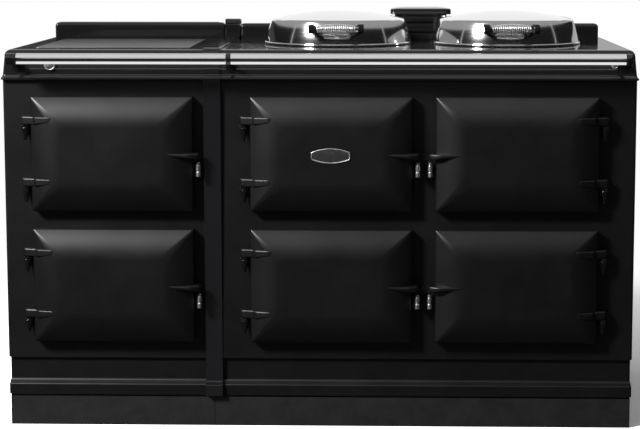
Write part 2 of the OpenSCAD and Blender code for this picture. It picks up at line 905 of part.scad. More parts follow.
// The pan inside each lid, which clears the hotplate and its ring
module lid_liner(n) {
    floor_z = hotplate_up + 4;
    rim_r = lid_r - lid_taper * 0.43 - lid_wall - 0.5;
    color([0.8, 0.8, 0.8])
        translate([lid_mid_x[n], lid_y, lid_z])
            rotate_extrude()
                polygon([[0, floor_z], [rim_r - 3, floor_z], [rim_r, floor_z + 3],
                    [rim_r, lid_side_h * 0.6 - lid_wall],
                    [rim_r - 2, lid_side_h * 0.6 - lid_wall],
                    [rim_r - 2, floor_z + 3], [0, floor_z + 3]]);
}

module lid_liner_left() {
    lid_liner(0);
}

module lid_liner_right() {
    lid_liner(1);
}

// The block behind each lid, with the pin through the lid's lugs
module lid_hinge_blocks() {
    color([0.07, 0.07, 0.07])
        for (x = lid_mid_x)
            translate([x, lid_y, top_z]) {
                along_x(-block_half, block_half)
                    polygon(concat([[block_front, 0]],
                        arc([block_front + 8, lid_axis_z + 6], 8, 180, 90),
                        arc([block_front + block_d - 8, lid_axis_z + 6], 8, 90, 0),
                        [[block_front + block_d, 0]]));
                translate([-block_half - lug_gap - lug_w - 1, lid_axis_y, lid_axis_z])
                    rotate([0, 90, 0])
                        cylinder(d = lid_pin_d, h = 2 * (block_half + lug_gap + lug_w + 1));
            }
}

// The wound wire grip: a barrel-shaped helix along X with straight ends
RINGS = 8;
SIDES = 6;
ring_count = grip_turns * RINGS;
wire_r = grip_wire_d / 2;
function grip_r(x) =
    grip_mid_d / 2 - wire_r - (grip_mid_d - grip_end_d) / 2 * pow(x / grip_half, 2);
function helix(i) =
    let (x = grip_half * (2 * i / ring_count - 1), a = 360 * i / RINGS)
    [x, grip_r(x) * cos(a), grip_r(x) * sin(a)];
GRIP_PATH = concat(
    [[-grip_post_x, grip_r(grip_half), 0]],
    [for (i = [0:ring_count]) helix(i)],
    [[grip_post_x, grip_r(grip_half), 0]]);
path_end = len(GRIP_PATH) - 1;
function unit(v) = v / norm(v);
function heading(i) =
    i == 0 || i == path_end ? [1, 0, 0] : unit(GRIP_PATH[i + 1] - GRIP_PATH[i - 1]);
function wire_ring(i) =
    let (p = GRIP_PATH[i], t = heading(i), out = unit([0, p[1], p[2]]),
        n = unit(out - (out * t) * t), b = cross(t, n))
    [for (k = [0:SIDES - 1]) p + wire_r * (n * cos(360 * k / SIDES) + b * sin(360 * k / SIDES))];
least_pitch = min([for (i = [0:path_end - 6]) min([for (j = [i + 6:min(path_end, i + 11)])
    norm(GRIP_PATH[i] - GRIP_PATH[j])])]);
echo(grip_least_gap = least_pitch - grip_wire_d);

module grip(n) {
    points = [for (i = [0:path_end]) each wire_ring(i)];
    sides = [for (i = [0:path_end - 1], k = [0:SIDES - 1])
        let (a = i * SIDES + k, b = i * SIDES + (k + 1) % SIDES)
        each [[a, a + SIDES, b + SIDES], [a, b + SIDES, b]]];
    last = path_end * SIDES;
    caps = [for (k = [1:SIDES - 2]) each [[0, k, k + 1], [last, last + k + 1, last + k]]];
    color([0.85, 0.86, 0.88])
        translate([lid_mid_x[n], lid_y - grip_y, top_z + grip_z])
            polyhedron(points, concat(sides, caps));
}

module grip_left() {
    grip(0);
}

module grip_right() {
    grip(1);
}

// The two posts that carry the grip, joined by the rod inside it
module grip_posts(n) {
    color([0.07, 0.07, 0.07])
        difference() {
            translate([lid_mid_x[n], lid_y - grip_y, top_z + grip_z]) {
                for (side = [-1, 1])
                    translate([side * (grip_post_x + grip_post_w / 2) - grip_post_w / 2, 0, 0]) {
                        rotate([0, 90, 0])
                            cylinder(d = grip_post_d, h = grip_post_w);
                        translate([0, 0, -grip_post_d / 2 + 2])
                            cube([grip_post_w, grip_y - lid_r + lid_taper + 20,
                                grip_post_d - 4]);
                    }
                translate([-grip_post_x - eps, 0, 0])
                    rotate([0, 90, 0])
                        cylinder(d = grip_rod_d, h = 2 * (grip_post_x + eps));
            }
            translate([lid_mid_x[n], lid_y, lid_z])
                lid_solid();
        }
}

module grip_posts_left() {
    grip_posts(0);
}

module grip_posts_right() {
    grip_posts(1);
}

// ---------------------------------------------------------------- doors

// The slope's height at a share u of its width: straight, then easing into the middle
slope_blend = 0.6;
slope_gain = 2 / (1 + slope_blend);
function slope_rise(u) = slope_gain
    * (u < slope_blend ? u : u - pow(u - slope_blend, 2) / (2 * (1 - slope_blend)));
slope_angle = atan(slope_gain * (door_rise - door_rim) / door_bevel);

// One side of the door's section, as distance from the middle and thickness
function door_half(half) =
    let (r = door_edge_r, c = door_rim + r * tan(slope_angle) - r / cos(slope_angle))
    concat([[half, 0]], arc([half - r, c], r, 0, 90 - slope_angle, 4),
        [for (u = [0.6, 0.7, 0.8, 0.9, 1])
            [half - u * door_bevel, door_rim + (door_rise - door_rim) * slope_rise(u)]]);

module door_section(half) {
    polygon([for (p = concat(door_half(half), mirrored(door_half(half)))) [p[0], -p[1]]]);
}

// The pair of arms that hang the door on its pins
module hinge_arms() {
    for (z = [arm_up, -arm_down])
        translate([-axis_off, 0, z - arm_h / 2]) {
            translate([0, -axis_t, 0])
                cylinder(r = hinge_pin_d / 2 + 6, h = arm_h);
            linear_extrude(arm_h)
                polygon([[0, -axis_t - hinge_pin_d / 2 - 6], [hinge_out + 8, -door_rim - 13],
                    [arm_reach - 6, -door_rim - 23], [arm_reach, -door_rim - 20],
                    [arm_reach, -door_rim], [hinge_out + 2, -pocket_d],
                    [hinge_out + 2, -axis_t + hinge_pin_d / 2 + 4],
                    [0, -axis_t + hinge_pin_d / 2 + 6]]);
        }
}

// The rib across the free edge, with the pin that carries the pull
module latch_rib() {
    edge = door_w / 2;
    translate([0, 0, -rib_drop - rib_h / 2])
        linear_extrude(rib_h)
            polygon([[edge + rib_out, -pull_t + 8], [edge + rib_out, -pull_t - 6],
                [edge + rib_out - 4, -pull_t - 11], [edge - 4, -door_rise + 2],
                [edge - door_bevel - 8, -door_rise + 1], [edge - door_bevel, -door_rim - 8],
                [edge - 8, -pocket_d], [edge, -pocket_d]]);
    translate([pull_off, -pull_t, -rib_drop - rib_h / 2 - pull_drop - pull_h + 4])
        cylinder(d = pull_pin_d, h = pull_drop + pull_h - 4 + eps);
}

// A door in its place: its casting stands out towards -Y from its back face
module placed(d) {
    translate([d[0], door_back_y, d[1]])
        if (d[2] > 0)
            mirror([1, 0, 0])
                children();
        else
            children();
}

module door_casting(d) {
    rim_w = door_w - 2 * pocket_rim;
    rim_h = door_h - 2 * pocket_rim;
    color([0.09, 0.09, 0.09])
        placed(d)
            difference() {
                union() {
                    intersection() {
                        translate([0, 0, -door_h / 2])
                            linear_extrude(door_h)
                                door_section(door_w / 2);
                        along_x(-door_w / 2, door_w / 2)
                            rotate(90)
                                mirror([0, 1])
                                    door_section(door_h / 2);
                        along_y(-door_rise - past, 0)
                            round_rect(door_w, door_h, door_corner_r);
                    }
                    hinge_arms();
                    latch_rib();
                }
                along_y(-pocket_d, past)
                    round_rect(rim_w, rim_h, door_corner_r);
                along_y(-plateau_wall, past)
                    round_rect(door_w - 2 * door_bevel - 8, door_h - 2 * door_bevel - 8,
                        door_corner_r);
                for (z = [arm_up, -arm_down])
                    translate([-axis_off, -axis_t, z - arm_h / 2 - past])
                        cylinder(r = hinge_pin_d / 2 + hinge_fit, h = arm_h + 2 * past);
            }
}

// The insulated plug that closes the mouth, with the flange that seats in the door
module door_liner(d) {
    fit = 0.3;
    color([0.7, 0.7, 0.72])
        placed(d) {
            along_y(-pocket_d, 0)
                round_rect(door_w - 2 * (pocket_rim + fit), door_h - 2 * (pocket_rim + fit),
                    door_corner_r - fit);
            along_y(-eps, plug_d)
                round_rect(mouth_w - 2 * plug_gap, mouth_h - 2 * plug_gap,
                    mouth_r - 2);
        }
}

// The turned chrome pull on the rib's pin, with a collar and a waist
module door_pull(d) {
    r = pull_d / 2;
    color([0.85, 0.86, 0.88])
        placed(d)
            translate([pull_off, -pull_t, -rib_drop - rib_h / 2 - pull_drop - pull_h])
                rotate_extrude()
                    difference() {
                        polygon([[0, 0], [r - 1, 0], [r, 1], [r, pull_h / 2 - 2],
                            [r - 1.2, pull_h / 2 - 1], [r - 1.2, pull_h / 2 + 1],
                            [r, pull_h / 2 + 2], [r, pull_h - 5], [r - 1.5, pull_h - 4],
                            [r - 1.5, pull_h], [0, pull_h]]);
                        translate([0, 4])
                            square([pull_pin_d / 2, pull_h]);
                    }
}

module door_roasting() {
    door_casting(ROASTING);
}

module door_baking() {
    door_casting(BAKING);
}

module door_simmering() {
    door_casting(SIMMERING);
}

module door_control() {
    door_casting(CONTROL);
}

module door_slow_cook() {
    door_casting(SLOW_COOK);
}

module door_warming() {
    door_casting(WARMING);
}

module liner_roasting() {
    door_liner(ROASTING);
}

module liner_baking() {
    door_liner(BAKING);
}

module liner_simmering() {
    door_liner(SIMMERING);
}

module liner_control() {
    door_liner(CONTROL);
}

module liner_slow_cook() {
    door_liner(SLOW_COOK);
}

module liner_warming() {
    door_liner(WARMING);
}

module pull_roasting() {
    door_pull(ROASTING);
}

module pull_baking() {
    door_pull(BAKING);
}

module pull_simmering() {
    door_pull(SIMMERING);
}

module pull_control() {
    door_pull(CONTROL);
}

module pull_slow_cook() {
    door_pull(SLOW_COOK);
}

module pull_warming() {
    door_pull(WARMING);
}

// The bare oval plate on the control door
module door_badge() {
    color([0.75, 0.76, 0.78])
        translate([CONTROL[0], 0, CONTROL[1]])
            along_y(door_back_y - door_rise - badge_t, door_back_y - door_rise)
                polygon([for (a = [0:10:350]) [badge_w / 2 * cos(a), badge_h / 2 * sin(a)]]);
}

// The bracket, post and pin under each hinge arm
module door_hinge_posts() {
    foot_y = front_y - door_back_y;
    color([0.06, 0.06, 0.06])
        for (d = DOORS)
            placed(d)
                for (z = [arm_up, -arm_down])
                    translate([-axis_off, -axis_t, z - arm_h / 2 - post_gap - post_h]) {
                        cylinder(d = post_d, h = post_h);
                        translate([-post_d / 2 + 3, 0, 0])
                            cube([post_d - 6, axis_t + foot_y, post_h]);
                        cylinder(d = hinge_pin_d, h = post_h + post_gap + arm_h - 2);
                    }
}

// The catch on the front plate behind each pull
module catch_saddles() {
    foot_y = front_y - door_back_y;
    color([0.06, 0.06, 0.06])
        for (d = DOORS)
            placed(d)
                difference() {
                    translate([pull_off - catch_w / 2, -pull_t + pull_d / 2 - 1,
                        -rib_drop - rib_h / 2 - pull_drop - (pull_h + catch_h) / 2])
                        cube([catch_w, pull_t - pull_d / 2 + 1 + foot_y, catch_h]);
                    translate([pull_off, -pull_t,
                        -rib_drop - rib_h / 2 - pull_drop - pull_h - past])
                        cylinder(r = pull_d / 2 + catch_gap, h = pull_h + 2 * past);
                }
}

// The fibre seal round each mouth
module door_seals() {
    color([0.6, 0.6, 0.56])
        for (d = DOORS)
            translate([d[0], 0, d[1]])
                along_y(front_y - seal_t, front_y)
                    difference() {
                        round_rect(mouth_w + 2 * seal_w, mouth_h + 2 * seal_w,
                            mouth_r + seal_w);
                        round_rect(mouth_w, mouth_h, mouth_r);
                    }
}

// ---------------------------------------------------------------- top furniture

// The vent cowl: a base, open rings and a cap round a dark core
COWL_RINGS = [[0, 0.19, 1], [0.25, 0.46, 0.98], [0.55, 0.7, 0.95]];

module vent_cowl() {
    cap_z = cowl_h * 0.78;
    color([0.05, 0.05, 0.05])
        translate([main_mid_x, upstand_y - cowl_gap - cowl_d / 2, top_z]) {
            linear_extrude(cap_z)
                round_rect(cowl_w - 22, cowl_d - 22, 6);
            for (ring = COWL_RINGS)
                translate([0, 0, ring[0] * cowl_h])
                    linear_extrude((ring[1] - ring[0]) * cowl_h)
                        round_rect(cowl_w * ring[2] - 4, cowl_d * ring[2] - 4, 10);
            intersection() {
                translate([0, 0, cap_z])
                    linear_extrude(cowl_h - cap_z)
                        round_rect(cowl_w, cowl_d, 12);
                along_x(-cowl_w / 2, cowl_w / 2)
                    cap_section(cowl_d / 2, cap_z);
                along_y(-cowl_d / 2, cowl_d / 2)
                    cap_section(cowl_w / 2, cap_z);
            }
        }
}

// The cap's section: an upright edge and a gently crowned top
module cap_section(half, z0) {
    edge_h = cowl_h - z0 - 4;
    right = concat([[half, z0], [half, z0 + edge_h - 4]],
        arc([half - 4, z0 + edge_h - 4], 4, 0, 75, 3),
        [for (s = [0.8, 0.6, 0.4, 0.2]) [half * s, cowl_h - 3 * s * s]]);
    polygon(concat(right, [[0, cowl_h]], mirrored(right)));
}

module handrails() {
    color([0.85, 0.86, 0.88])
        for (s = rail_spans)
            translate([s[0], rail_y, rail_z])
                rotate([0, 90, 0])
                    difference() {
                        cylinder(d = rail_d, h = s[1] - s[0]);
                        translate([0, 0, -past])
                            cylinder(d = rail_d - 2 * rail_wall, h = s[1] - s[0] + 2 * past);
                    }
}

// A bracket from x0 to x1, with a spigot in the rail at its left or right, and an arm
// that slopes back and down to a flange on the top plate's edge
module rail_bracket(x0, x1, left, right) {
    w = x1 - x0;
    reach = rail_out - lip_out + edge_inset;
    fall = atan2(bracket_fall, reach);
    start = left ? spigot_l : 0;
    length = w + start + (right ? spigot_l : 0);
    translate([x0, rail_y, rail_z]) {
        rotate([0, 90, 0])
            cylinder(d = rail_d, h = w);
        translate([-start, 0, 0])
            rotate([0, 90, 0])
                cylinder(d = rail_d - 2 * rail_wall, h = length);
        translate([w / 2, 0, 0])
            rotate([-90 - fall, 0, 0])
                cylinder(d = min(bracket_arm_d, w - 1), h = reach + 8);
        translate([w / 2, rail_out - lip_out + 2, -bracket_fall])
            rotate([-90, 0, 0])
                cylinder(d = bracket_flange_d, h = edge_inset + 3);
    }
}

module both_top_blocks() {
    top_block(left_x, module_end_x, true);
    top_block(main_start_x, right_x, false);
}

module handrail_brackets() {
    color([0.05, 0.05, 0.05])
        difference() {
            union() {
                rail_bracket(rail_spans[0][0] - bracket_left_w, rail_spans[0][0], false, true);
                rail_bracket(rail_spans[0][1], rail_spans[1][0], true, true);
                rail_bracket(rail_spans[1][1], rail_spans[1][1] + bracket_right_w, true, false);
            }
            both_top_blocks();
        }
}

// The round chrome heads on the top plate's edge, under the outer ends of the rails
module rail_studs() {
    color([0.85, 0.86, 0.88])
        difference() {
            for (stud = [[left_x + stud_left_in, stud_left_d],
                [right_x - stud_right_in, stud_right_d]])
                translate([stud[0], lip_y - 3, top_z - stud_drop])
                    rotate([-90, 0, 0])
                        cylinder(d = stud[1], h = lip_out + edge_inset);
            both_top_blocks();
        }
}

module cable_gland() {
    color([0.1, 0.1, 0.1])
        translate([gland_x, back_y, gland_z])
            rotate([-90, 0, 0])
                difference() {
                    union() {
                        cylinder(r = gland_body_r + 4, h = 5);
                        cylinder(r = gland_body_r, h = 16);
                    }
                    translate([0, 0, -past])
                        cylinder(r = gland_r, h = 16 + 2 * past);
                }
}

base_frames();
base_covers();
front_plate_module();
front_plate_main();
side_sheets();
back_sheets();
insulation();
top_plate_module();
top_plate_main();
joint_cover();
upstands();
warming_plate();
hotplates();
hotplate_rings();
hotplate_elements();
vent_cowl();
handrails();
handrail_brackets();
rail_studs();
roasting_oven();
baking_oven();
simmering_oven();
slow_cook_oven();
warming_oven();
control_panel();
oven_shelves();
lid_hinge_blocks();
door_hinge_posts();
catch_saddles();
door_seals();
cable_gland();
door_roasting();
door_baking();
door_simmering();
door_control();
door_slow_cook();
door_warming();
liner_roasting();
liner_baking();
liner_simmering();
liner_control();
liner_slow_cook();
liner_warming();
pull_roasting();
pull_baking();
pull_simmering();
pull_control();
pull_slow_cook();
pull_warming();
door_badge();
lid_left();
lid_right();
lid_liner_left();
lid_liner_right();
grip_left();
grip_right();
grip_posts_left();
grip_posts_right();
knob_left();
knob_right();
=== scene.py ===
# %% [markdown]
# # A cast iron range cooker, dressed in Blender
#
# The object is a wide heat-storage cooker: a four-door cooker with two lidded hotplates,
# joined on its left to a two-door module with a warming plate. Its solids come packed
# from the CAD. This lesson adds what the solids lack: the soft edges of enamelled
# castings, turned chrome, the wound wire grips, and a finish for every surface.
#
# The whole lesson works in millimetres, as a maker would, and turns to metres only where
# a mesh, a lamp or the camera gets its place, or a finish its depth.

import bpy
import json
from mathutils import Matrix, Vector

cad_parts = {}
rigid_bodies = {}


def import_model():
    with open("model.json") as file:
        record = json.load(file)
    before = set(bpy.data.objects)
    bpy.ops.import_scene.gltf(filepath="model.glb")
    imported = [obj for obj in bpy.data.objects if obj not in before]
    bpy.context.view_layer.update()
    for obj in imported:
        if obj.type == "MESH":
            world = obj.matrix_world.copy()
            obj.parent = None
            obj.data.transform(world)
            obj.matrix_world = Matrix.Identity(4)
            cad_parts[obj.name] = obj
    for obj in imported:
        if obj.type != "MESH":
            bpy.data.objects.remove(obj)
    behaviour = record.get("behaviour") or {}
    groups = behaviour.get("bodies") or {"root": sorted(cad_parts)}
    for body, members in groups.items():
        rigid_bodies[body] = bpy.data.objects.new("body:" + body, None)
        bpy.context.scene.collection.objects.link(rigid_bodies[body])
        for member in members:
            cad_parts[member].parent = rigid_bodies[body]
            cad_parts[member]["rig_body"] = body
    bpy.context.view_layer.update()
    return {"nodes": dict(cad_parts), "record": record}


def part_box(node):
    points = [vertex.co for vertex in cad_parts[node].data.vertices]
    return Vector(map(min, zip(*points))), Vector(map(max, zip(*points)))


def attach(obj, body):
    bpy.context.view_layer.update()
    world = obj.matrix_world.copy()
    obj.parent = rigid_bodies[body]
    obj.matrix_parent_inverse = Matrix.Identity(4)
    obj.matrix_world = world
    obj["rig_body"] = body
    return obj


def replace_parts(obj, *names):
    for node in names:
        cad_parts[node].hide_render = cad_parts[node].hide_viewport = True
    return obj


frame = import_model()

# %% Modules, units and what the record says
import json
import math

import bmesh
import bpy
import numpy as np

MM = 0.001
SLOTS = {row["node"]: row["material_slot"] for row in frame["record"]["subparts"]}


def node_box(node):
    """The lowest and highest corner of a CAD node, in millimetres."""
    low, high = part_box(node)
    return np.array(low) / MM, np.array(high) / MM


# %% [markdown]
# ## Camera
#
# The camera stands 4.3 m in front of the cooker's middle, a little to the right and above
# the rails, and looks slightly down and left. From there a long lens keeps the uprights
# nearly parallel. A wide lens close by would splay them, as a phone does. The place was
# fitted to the corners of the doors, the plinth and the rails.

# %% Camera
CAMERA_PLACE = (158.0, -4300, 1128.2)
CAMERA_TILT = 0.1162
CAMERA_YAW = 0.0238
LENS, SENSOR = 97.04, 36
SHIFT_X, SHIFT_Y = -0.04, -0.10
SIGHT_M = 100

camera = bpy.data.objects.new("camera", bpy.data.cameras.new("camera"))
camera.data.lens = LENS
camera.data.sensor_width = SENSOR
camera.data.shift_x = SHIFT_X
camera.data.shift_y = SHIFT_Y
camera.data.clip_end = SIGHT_M
camera.location = [value * MM for value in CAMERA_PLACE]
camera.rotation_euler = (math.pi / 2 - CAMERA_TILT, 0, CAMERA_YAW)
bpy.context.scene.collection.objects.link(camera)
bpy.context.scene.camera = camera
print("camera lens", LENS, "mm")

# %% [markdown]
# ## Curves and surfaces as arrays
#
# A mesh could be modelled by hand, or built vertex by vertex in a loop. Here every shape
# is a grid of points worked out at once: rows are the stations along the shape and
# columns go round it. The same few helpers then make castings, turned parts and wires.


# %% Flat curves
def arc(centre, radius, start, end, steps=6):
    """Points centre + radius (cos a, sin a), a going from start to end degrees."""
    angle = np.radians(np.linspace(start, end, steps + 1))
    return np.column_stack([centre[0] + radius * np.cos(angle), centre[1] + radius * np.sin(angle)])


def bezier(start, pull, end, steps=8):
    """Quadratic curve: (1-t)^2 start + 2t(1-t) pull + t^2 end, t from 0 to 1."""
    t = np.linspace(0, 1, steps + 1)[:, None]
    start, pull, end = np.array(start), np.array(pull), np.array(end)
    return (1 - t) ** 2 * start + 2 * t * (1 - t) * pull + t**2 * end


def joined(*runs):
    """Runs of points, one after the other, as one array."""
    return np.concatenate([np.atleast_2d(np.asarray(run, float)) for run in runs])


print("a quarter round of radius 1:", arc((0, 0), 1, 0, 90, 2).round(2).tolist())

# %% [markdown]
# A casting's outline is closed and its corners are round. A bevel could round them later,
# but rounding them in the outline keeps each corner's radius a number of its own. Drawing
# the outline in by a distance then gives the next level of a moulded edge.


# %% Closed outlines
def filleted(corners, steps=4):
    """An outline whose corners (x, y, r) are rounded: each is a quadratic curve between
    the two points that lie r before and r after the corner on its sides."""
    corners = np.asarray(corners, float)
    point, reach = corners[:, None, :2], corners[:, None, 2:]
    before = np.roll(point, 1, axis=0) - point
    after = np.roll(point, -1, axis=0) - point
    start = point + reach * before / np.linalg.norm(before, axis=2, keepdims=True)
    end = point + reach * after / np.linalg.norm(after, axis=2, keepdims=True)
    t = np.linspace(0, 1, steps + 1)[None, :, None]
    return ((1 - t) ** 2 * start + 2 * t * (1 - t) * point + t**2 * end).reshape(-1, 2)


def rounded_box(x0, x1, y0, y1, radii, steps=5):
    """Anticlockwise outline of a rectangle; each corner is an arc of its own radius, in
    the order left front, right front, right back, left back."""
    r = np.broadcast_to(radii, 4).astype(float)[:, None]
    angle = np.radians(np.array([180, 270, 0, 90])[:, None] + np.linspace(0, 90, steps + 1))
    x = np.array([x0, x1, x1, x0], float)[:, None] + r * (np.array([[1], [-1], [-1], [1]]) + np.cos(angle))
    y = np.array([y0, y0, y1, y1], float)[:, None] + r * (np.array([[1], [1], [-1], [-1]]) + np.sin(angle))
    return np.column_stack([x.ravel(), y.ravel()])


def drawn_in(outline, distance):
    """The outline moved inwards: each point goes distance (n1+n2)/(1+n1.n2), where n1 and
    n2 are the inward normals of the sides before and after it."""
    before = outline - np.roll(outline, 1, axis=0)
    after = np.roll(outline, -1, axis=0) - outline
    x, y = outline.T
    turn = np.sign(np.sum(x * np.roll(y, -1) - np.roll(x, -1) * y))
    n1, n2 = (turn * np.column_stack([-d[:, 1], d[:, 0]]) for d in (before, after))
    n1 = n1 / np.maximum(np.linalg.norm(n1, axis=1, keepdims=True), 1e-9)
    n2 = n2 / np.maximum(np.linalg.norm(n2, axis=1, keepdims=True), 1e-9)
    share = 1 + np.sum(n1 * n2, axis=1, keepdims=True)
    return outline + distance * (n1 + n2) / np.maximum(share, 0.2)


# %% [markdown]
# Three kinds of grid cover nearly every piece: outlines stacked at their heights, plates
# with round edges, and profiles turned on a lathe.


# %% Surfaces
def levels(loops, heights):
    """Stacks flat closed loops at their heights: a grid of levels by points."""
    loops = np.stack(loops)
    tall = np.broadcast_to(np.asarray(heights, float)[:, None, None], (*loops.shape[:2], 1))
    return np.concatenate([loops, tall], axis=2)


def stacked(section, outline):
    """Levels of a section (inset, height): outline(inset) is the loop at each height."""
    return levels([outline(inset) for inset, _ in section], section[:, 1])


def slab(outline, low, high, edge, steps=3):
    """A plate cut to an outline with round edges: at angle a of the edge the outline is
    drawn in by edge (1 - sin a) and stands edge (1 - cos a) off the plate's face."""
    angle = np.radians(np.linspace(0, 90, steps + 1))
    inset = edge * (1 - np.sin(angle))
    off = edge * (1 - np.cos(angle))
    insets = np.concatenate([inset, inset[::-1]])
    heights = np.concatenate([low + off, high - off[::-1]])
    return levels([drawn_in(outline, step) for step in insets], heights)


def turned(profile, centre, axis, around=64):
    """A turned part: the profile (radius, height) swept round the axis through centre:
    centre + height along the axis + radius (cos a, sin a) across it."""
    radius, height = np.asarray(profile, float).T[:, :, None]
    angle = np.linspace(0, 2 * np.pi, around, endpoint=False)
    points = np.stack([radius * np.cos(angle), radius * np.sin(angle), height + 0 * angle], axis=2)
    return np.roll(points, {"x": 1, "y": 2, "z": 0}[axis], axis=2) + centre


def grid_faces(rows, columns):
    """Four-cornered faces between the rows of a grid whose columns close into rings."""
    index = np.arange(rows * columns).reshape(rows, columns)
    beside = np.roll(index, -1, axis=1)
    return np.stack([index[:-1], beside[:-1], beside[1:], index[1:]], axis=-1).reshape(-1, 4)


print("faces between 3 rings of 8 points:", len(grid_faces(3, 8)))

# %% [markdown]
# ## From grids to a piece of the object
#
# Each piece may hold several grids, such as a door with its arms. Ends are closed with
# one flat face, doubles at poles are merged, and normals are turned outwards. Weighted
# normals keep wide flat faces flat beside a narrow round edge, which is what makes an
# enamelled casting catch a thin line of light.


# %% Write a piece
SAME_POINT_M = 1e-5


def add_piece(name, grids, nodes, finish=None, sharp=40):
    """A mesh of closed grids in millimetres, riding on the body of the CAD nodes that it
    stands for, in their slot's finish unless another is given. Edges sharper than the
    given degrees stay hard."""
    corners, faces, first = [], [], 0
    for grid in grids:
        rows, columns = grid.shape[:2]
        corners.append(grid.reshape(-1, 3))
        faces += (grid_faces(rows, columns) + first).tolist()
        faces.append((first + np.arange(columns)).tolist())
        faces.append((first + (rows - 1) * columns + np.arange(columns)).tolist())
        first += rows * columns
    mesh = bpy.data.meshes.new(name)
    mesh.from_pydata((np.concatenate(corners) * MM).tolist(), [], faces)
    work = bmesh.new()
    work.from_mesh(mesh)
    bmesh.ops.remove_doubles(work, verts=work.verts, dist=SAME_POINT_M)
    bmesh.ops.recalc_face_normals(work, faces=work.faces)
    work.to_mesh(mesh)
    work.free()
    mesh.shade_smooth()
    mesh.set_sharp_from_angle(angle=math.radians(sharp))
    mesh.materials.append(finish or FINISHES[SLOTS[nodes[0]]])
    piece = bpy.data.objects.new(name, mesh)
    bpy.context.scene.collection.objects.link(piece)
    soft = piece.modifiers.new("flat_faces_stay_flat", "WEIGHTED_NORMAL")
    soft.keep_sharp = True
    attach(piece, frame["nodes"][nodes[0]]["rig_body"])
    print(name, len(mesh.polygons), "faces")
    return piece


def dress(name, grids, nodes, **extra):
    """A piece that stands for the CAD nodes."""
    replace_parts(add_piece(name, grids, nodes, **extra), *nodes)


# %% [markdown]
# ## Finishes
#
# Every finish is a small network of nodes that reads Object coordinates, so that it
# neither slides nor stretches. Real surfaces are never one flat value: enamel has faint
# waves from its firing, plated steel has fine polishing marks, cast iron has a grain. A
# picture could show them, but a pattern in nodes stays sharp at any distance.


# %% A finish and its nodes
class Finish:
    """A material with one Principled shader, and short calls for its nodes."""

    def __init__(self, name, colour, roughness, metallic=0.0, **constants):
        self.material = bpy.data.materials.new(name)
        self.material.use_nodes = True
        self.tree = self.material.node_tree
        self.shader = self.tree.nodes["Principled BSDF"]
        self.material.diffuse_color = (*colour, 1)
        self.set("Base Color", (*colour, 1))
        self.set("Roughness", roughness)
        self.set("Metallic", metallic)
        for socket, value in constants.items():
            self.set(socket.replace("_", " "), value)
        self.place = self.add("ShaderNodeTexCoord").outputs["Object"]
        self.height = None

    def set(self, socket, value):
        """A number or colour that is the same all over, on the shader's own socket."""
        self.shader.inputs[socket].default_value = value

    def add(self, kind, links=(), **settings):
        """A new node with its settings, and values or links for its inputs."""
        node = self.tree.nodes.new(kind)
        for key, value in settings.items():
            setattr(node, key, value)
        for socket, value in dict(links).items():
            if isinstance(value, bpy.types.NodeSocket):
                self.tree.links.new(value, node.inputs[socket])
            else:
                node.inputs[socket].default_value = value
        return node

    def scaled(self, x, y, z):
        """Object coordinates drawn out by three factors."""
        return self.add("ShaderNodeMapping", {"Vector": self.place, "Scale": (x, y, z)}).outputs["Vector"]

    def noise(self, scale, detail, place=None):
        """Soft noise with so many spots to a metre, and so many finer layers on it."""
        links = {"Vector": place or self.place, "Scale": scale, "Detail": detail}
        return self.add("ShaderNodeTexNoise", links).outputs["Fac"]

    def cells(self, scale, output="Distance"):
        """Cells, so many to a metre: the distance from each one's middle, or its colour."""
        return self.add("ShaderNodeTexVoronoi", {"Vector": self.place, "Scale": scale}).outputs[output]

    def spread(self, value, low, high, from_low=0.3, from_high=0.7):
        """The value's usual range stretched to run from low to high."""
        links = {"Value": value, "From Min": from_low, "From Max": from_high,
                 "To Min": low, "To Max": high}
        return self.add("ShaderNodeMapRange", links).outputs["Result"]

    def roughened(self, value, low, high):
        """Roughness between low and high, by the value."""
        self.tree.links.new(self.spread(value, low, high), self.shader.inputs["Roughness"])

    def coloured(self, value, first, second):
        """Base colour between two colours, by the value."""
        mix = self.add("ShaderNodeMix", {"Factor": self.spread(value, 0, 1)}, data_type="RGBA")
        from_colour, to_colour = (socket for socket in mix.inputs if socket.type == "RGBA")
        from_colour.default_value = (*first, 1)
        to_colour.default_value = (*second, 1)
        mixed = next(socket for socket in mix.outputs if socket.type == "RGBA")
        self.tree.links.new(mixed, self.shader.inputs["Base Color"])

    def bumped(self, value, depth, strength=1.0):
        """Adds the value as a relief of the given depth in millimetres."""
        bump = self.add("ShaderNodeBump", {"Height": value, "Distance": depth * MM, "Strength": strength})
        if self.height:
            self.tree.links.new(self.height, bump.inputs["Normal"])
        self.height = bump.outputs["Normal"]
        self.tree.links.new(self.height, self.shader.inputs["Normal"])


# %% [markdown]
# The fronts and doors are cast iron under black vitreous enamel. Fired enamel is a glass:
# it flows, so it is smooth, but it keeps slow waves from the casting and a fine orange
# peel. The doors have a satin gloss and the top plates a mirror one, so the doors show
# soft shades where the tops show pictures.


# %% Enamels
def front_enamel():
    """Satin black glass: slow waves, and orange peel 2 mm wide."""
    finish = Finish("front_enamel", (0.0025, 0.0025, 0.0027), 0.42, Specular_IOR_Level=0.5)
    finish.roughened(finish.noise(9, 3), 0.39, 0.45)
    finish.coloured(finish.noise(30, 2), (0.002, 0.002, 0.0022), (0.003, 0.003, 0.0032))
    finish.bumped(finish.noise(6, 1), 0.5, 0.12)
    finish.bumped(finish.noise(420, 1), 0.05, 0.25)
    return finish.material


def top_enamel():
    """Mirror black glass with slow waves, a little duller in patches."""
    finish = Finish("top_enamel", (0.008, 0.008, 0.009), 0.06, Specular_IOR_Level=0.5,
                    Coat_Weight=0.45, Coat_Roughness=0.03)
    finish.roughened(finish.noise(7, 4), 0.05, 0.13)
    finish.bumped(finish.noise(11, 2), 0.5, 0.14)
    finish.bumped(finish.noise(380, 1), 0.04, 0.12)
    return finish.material


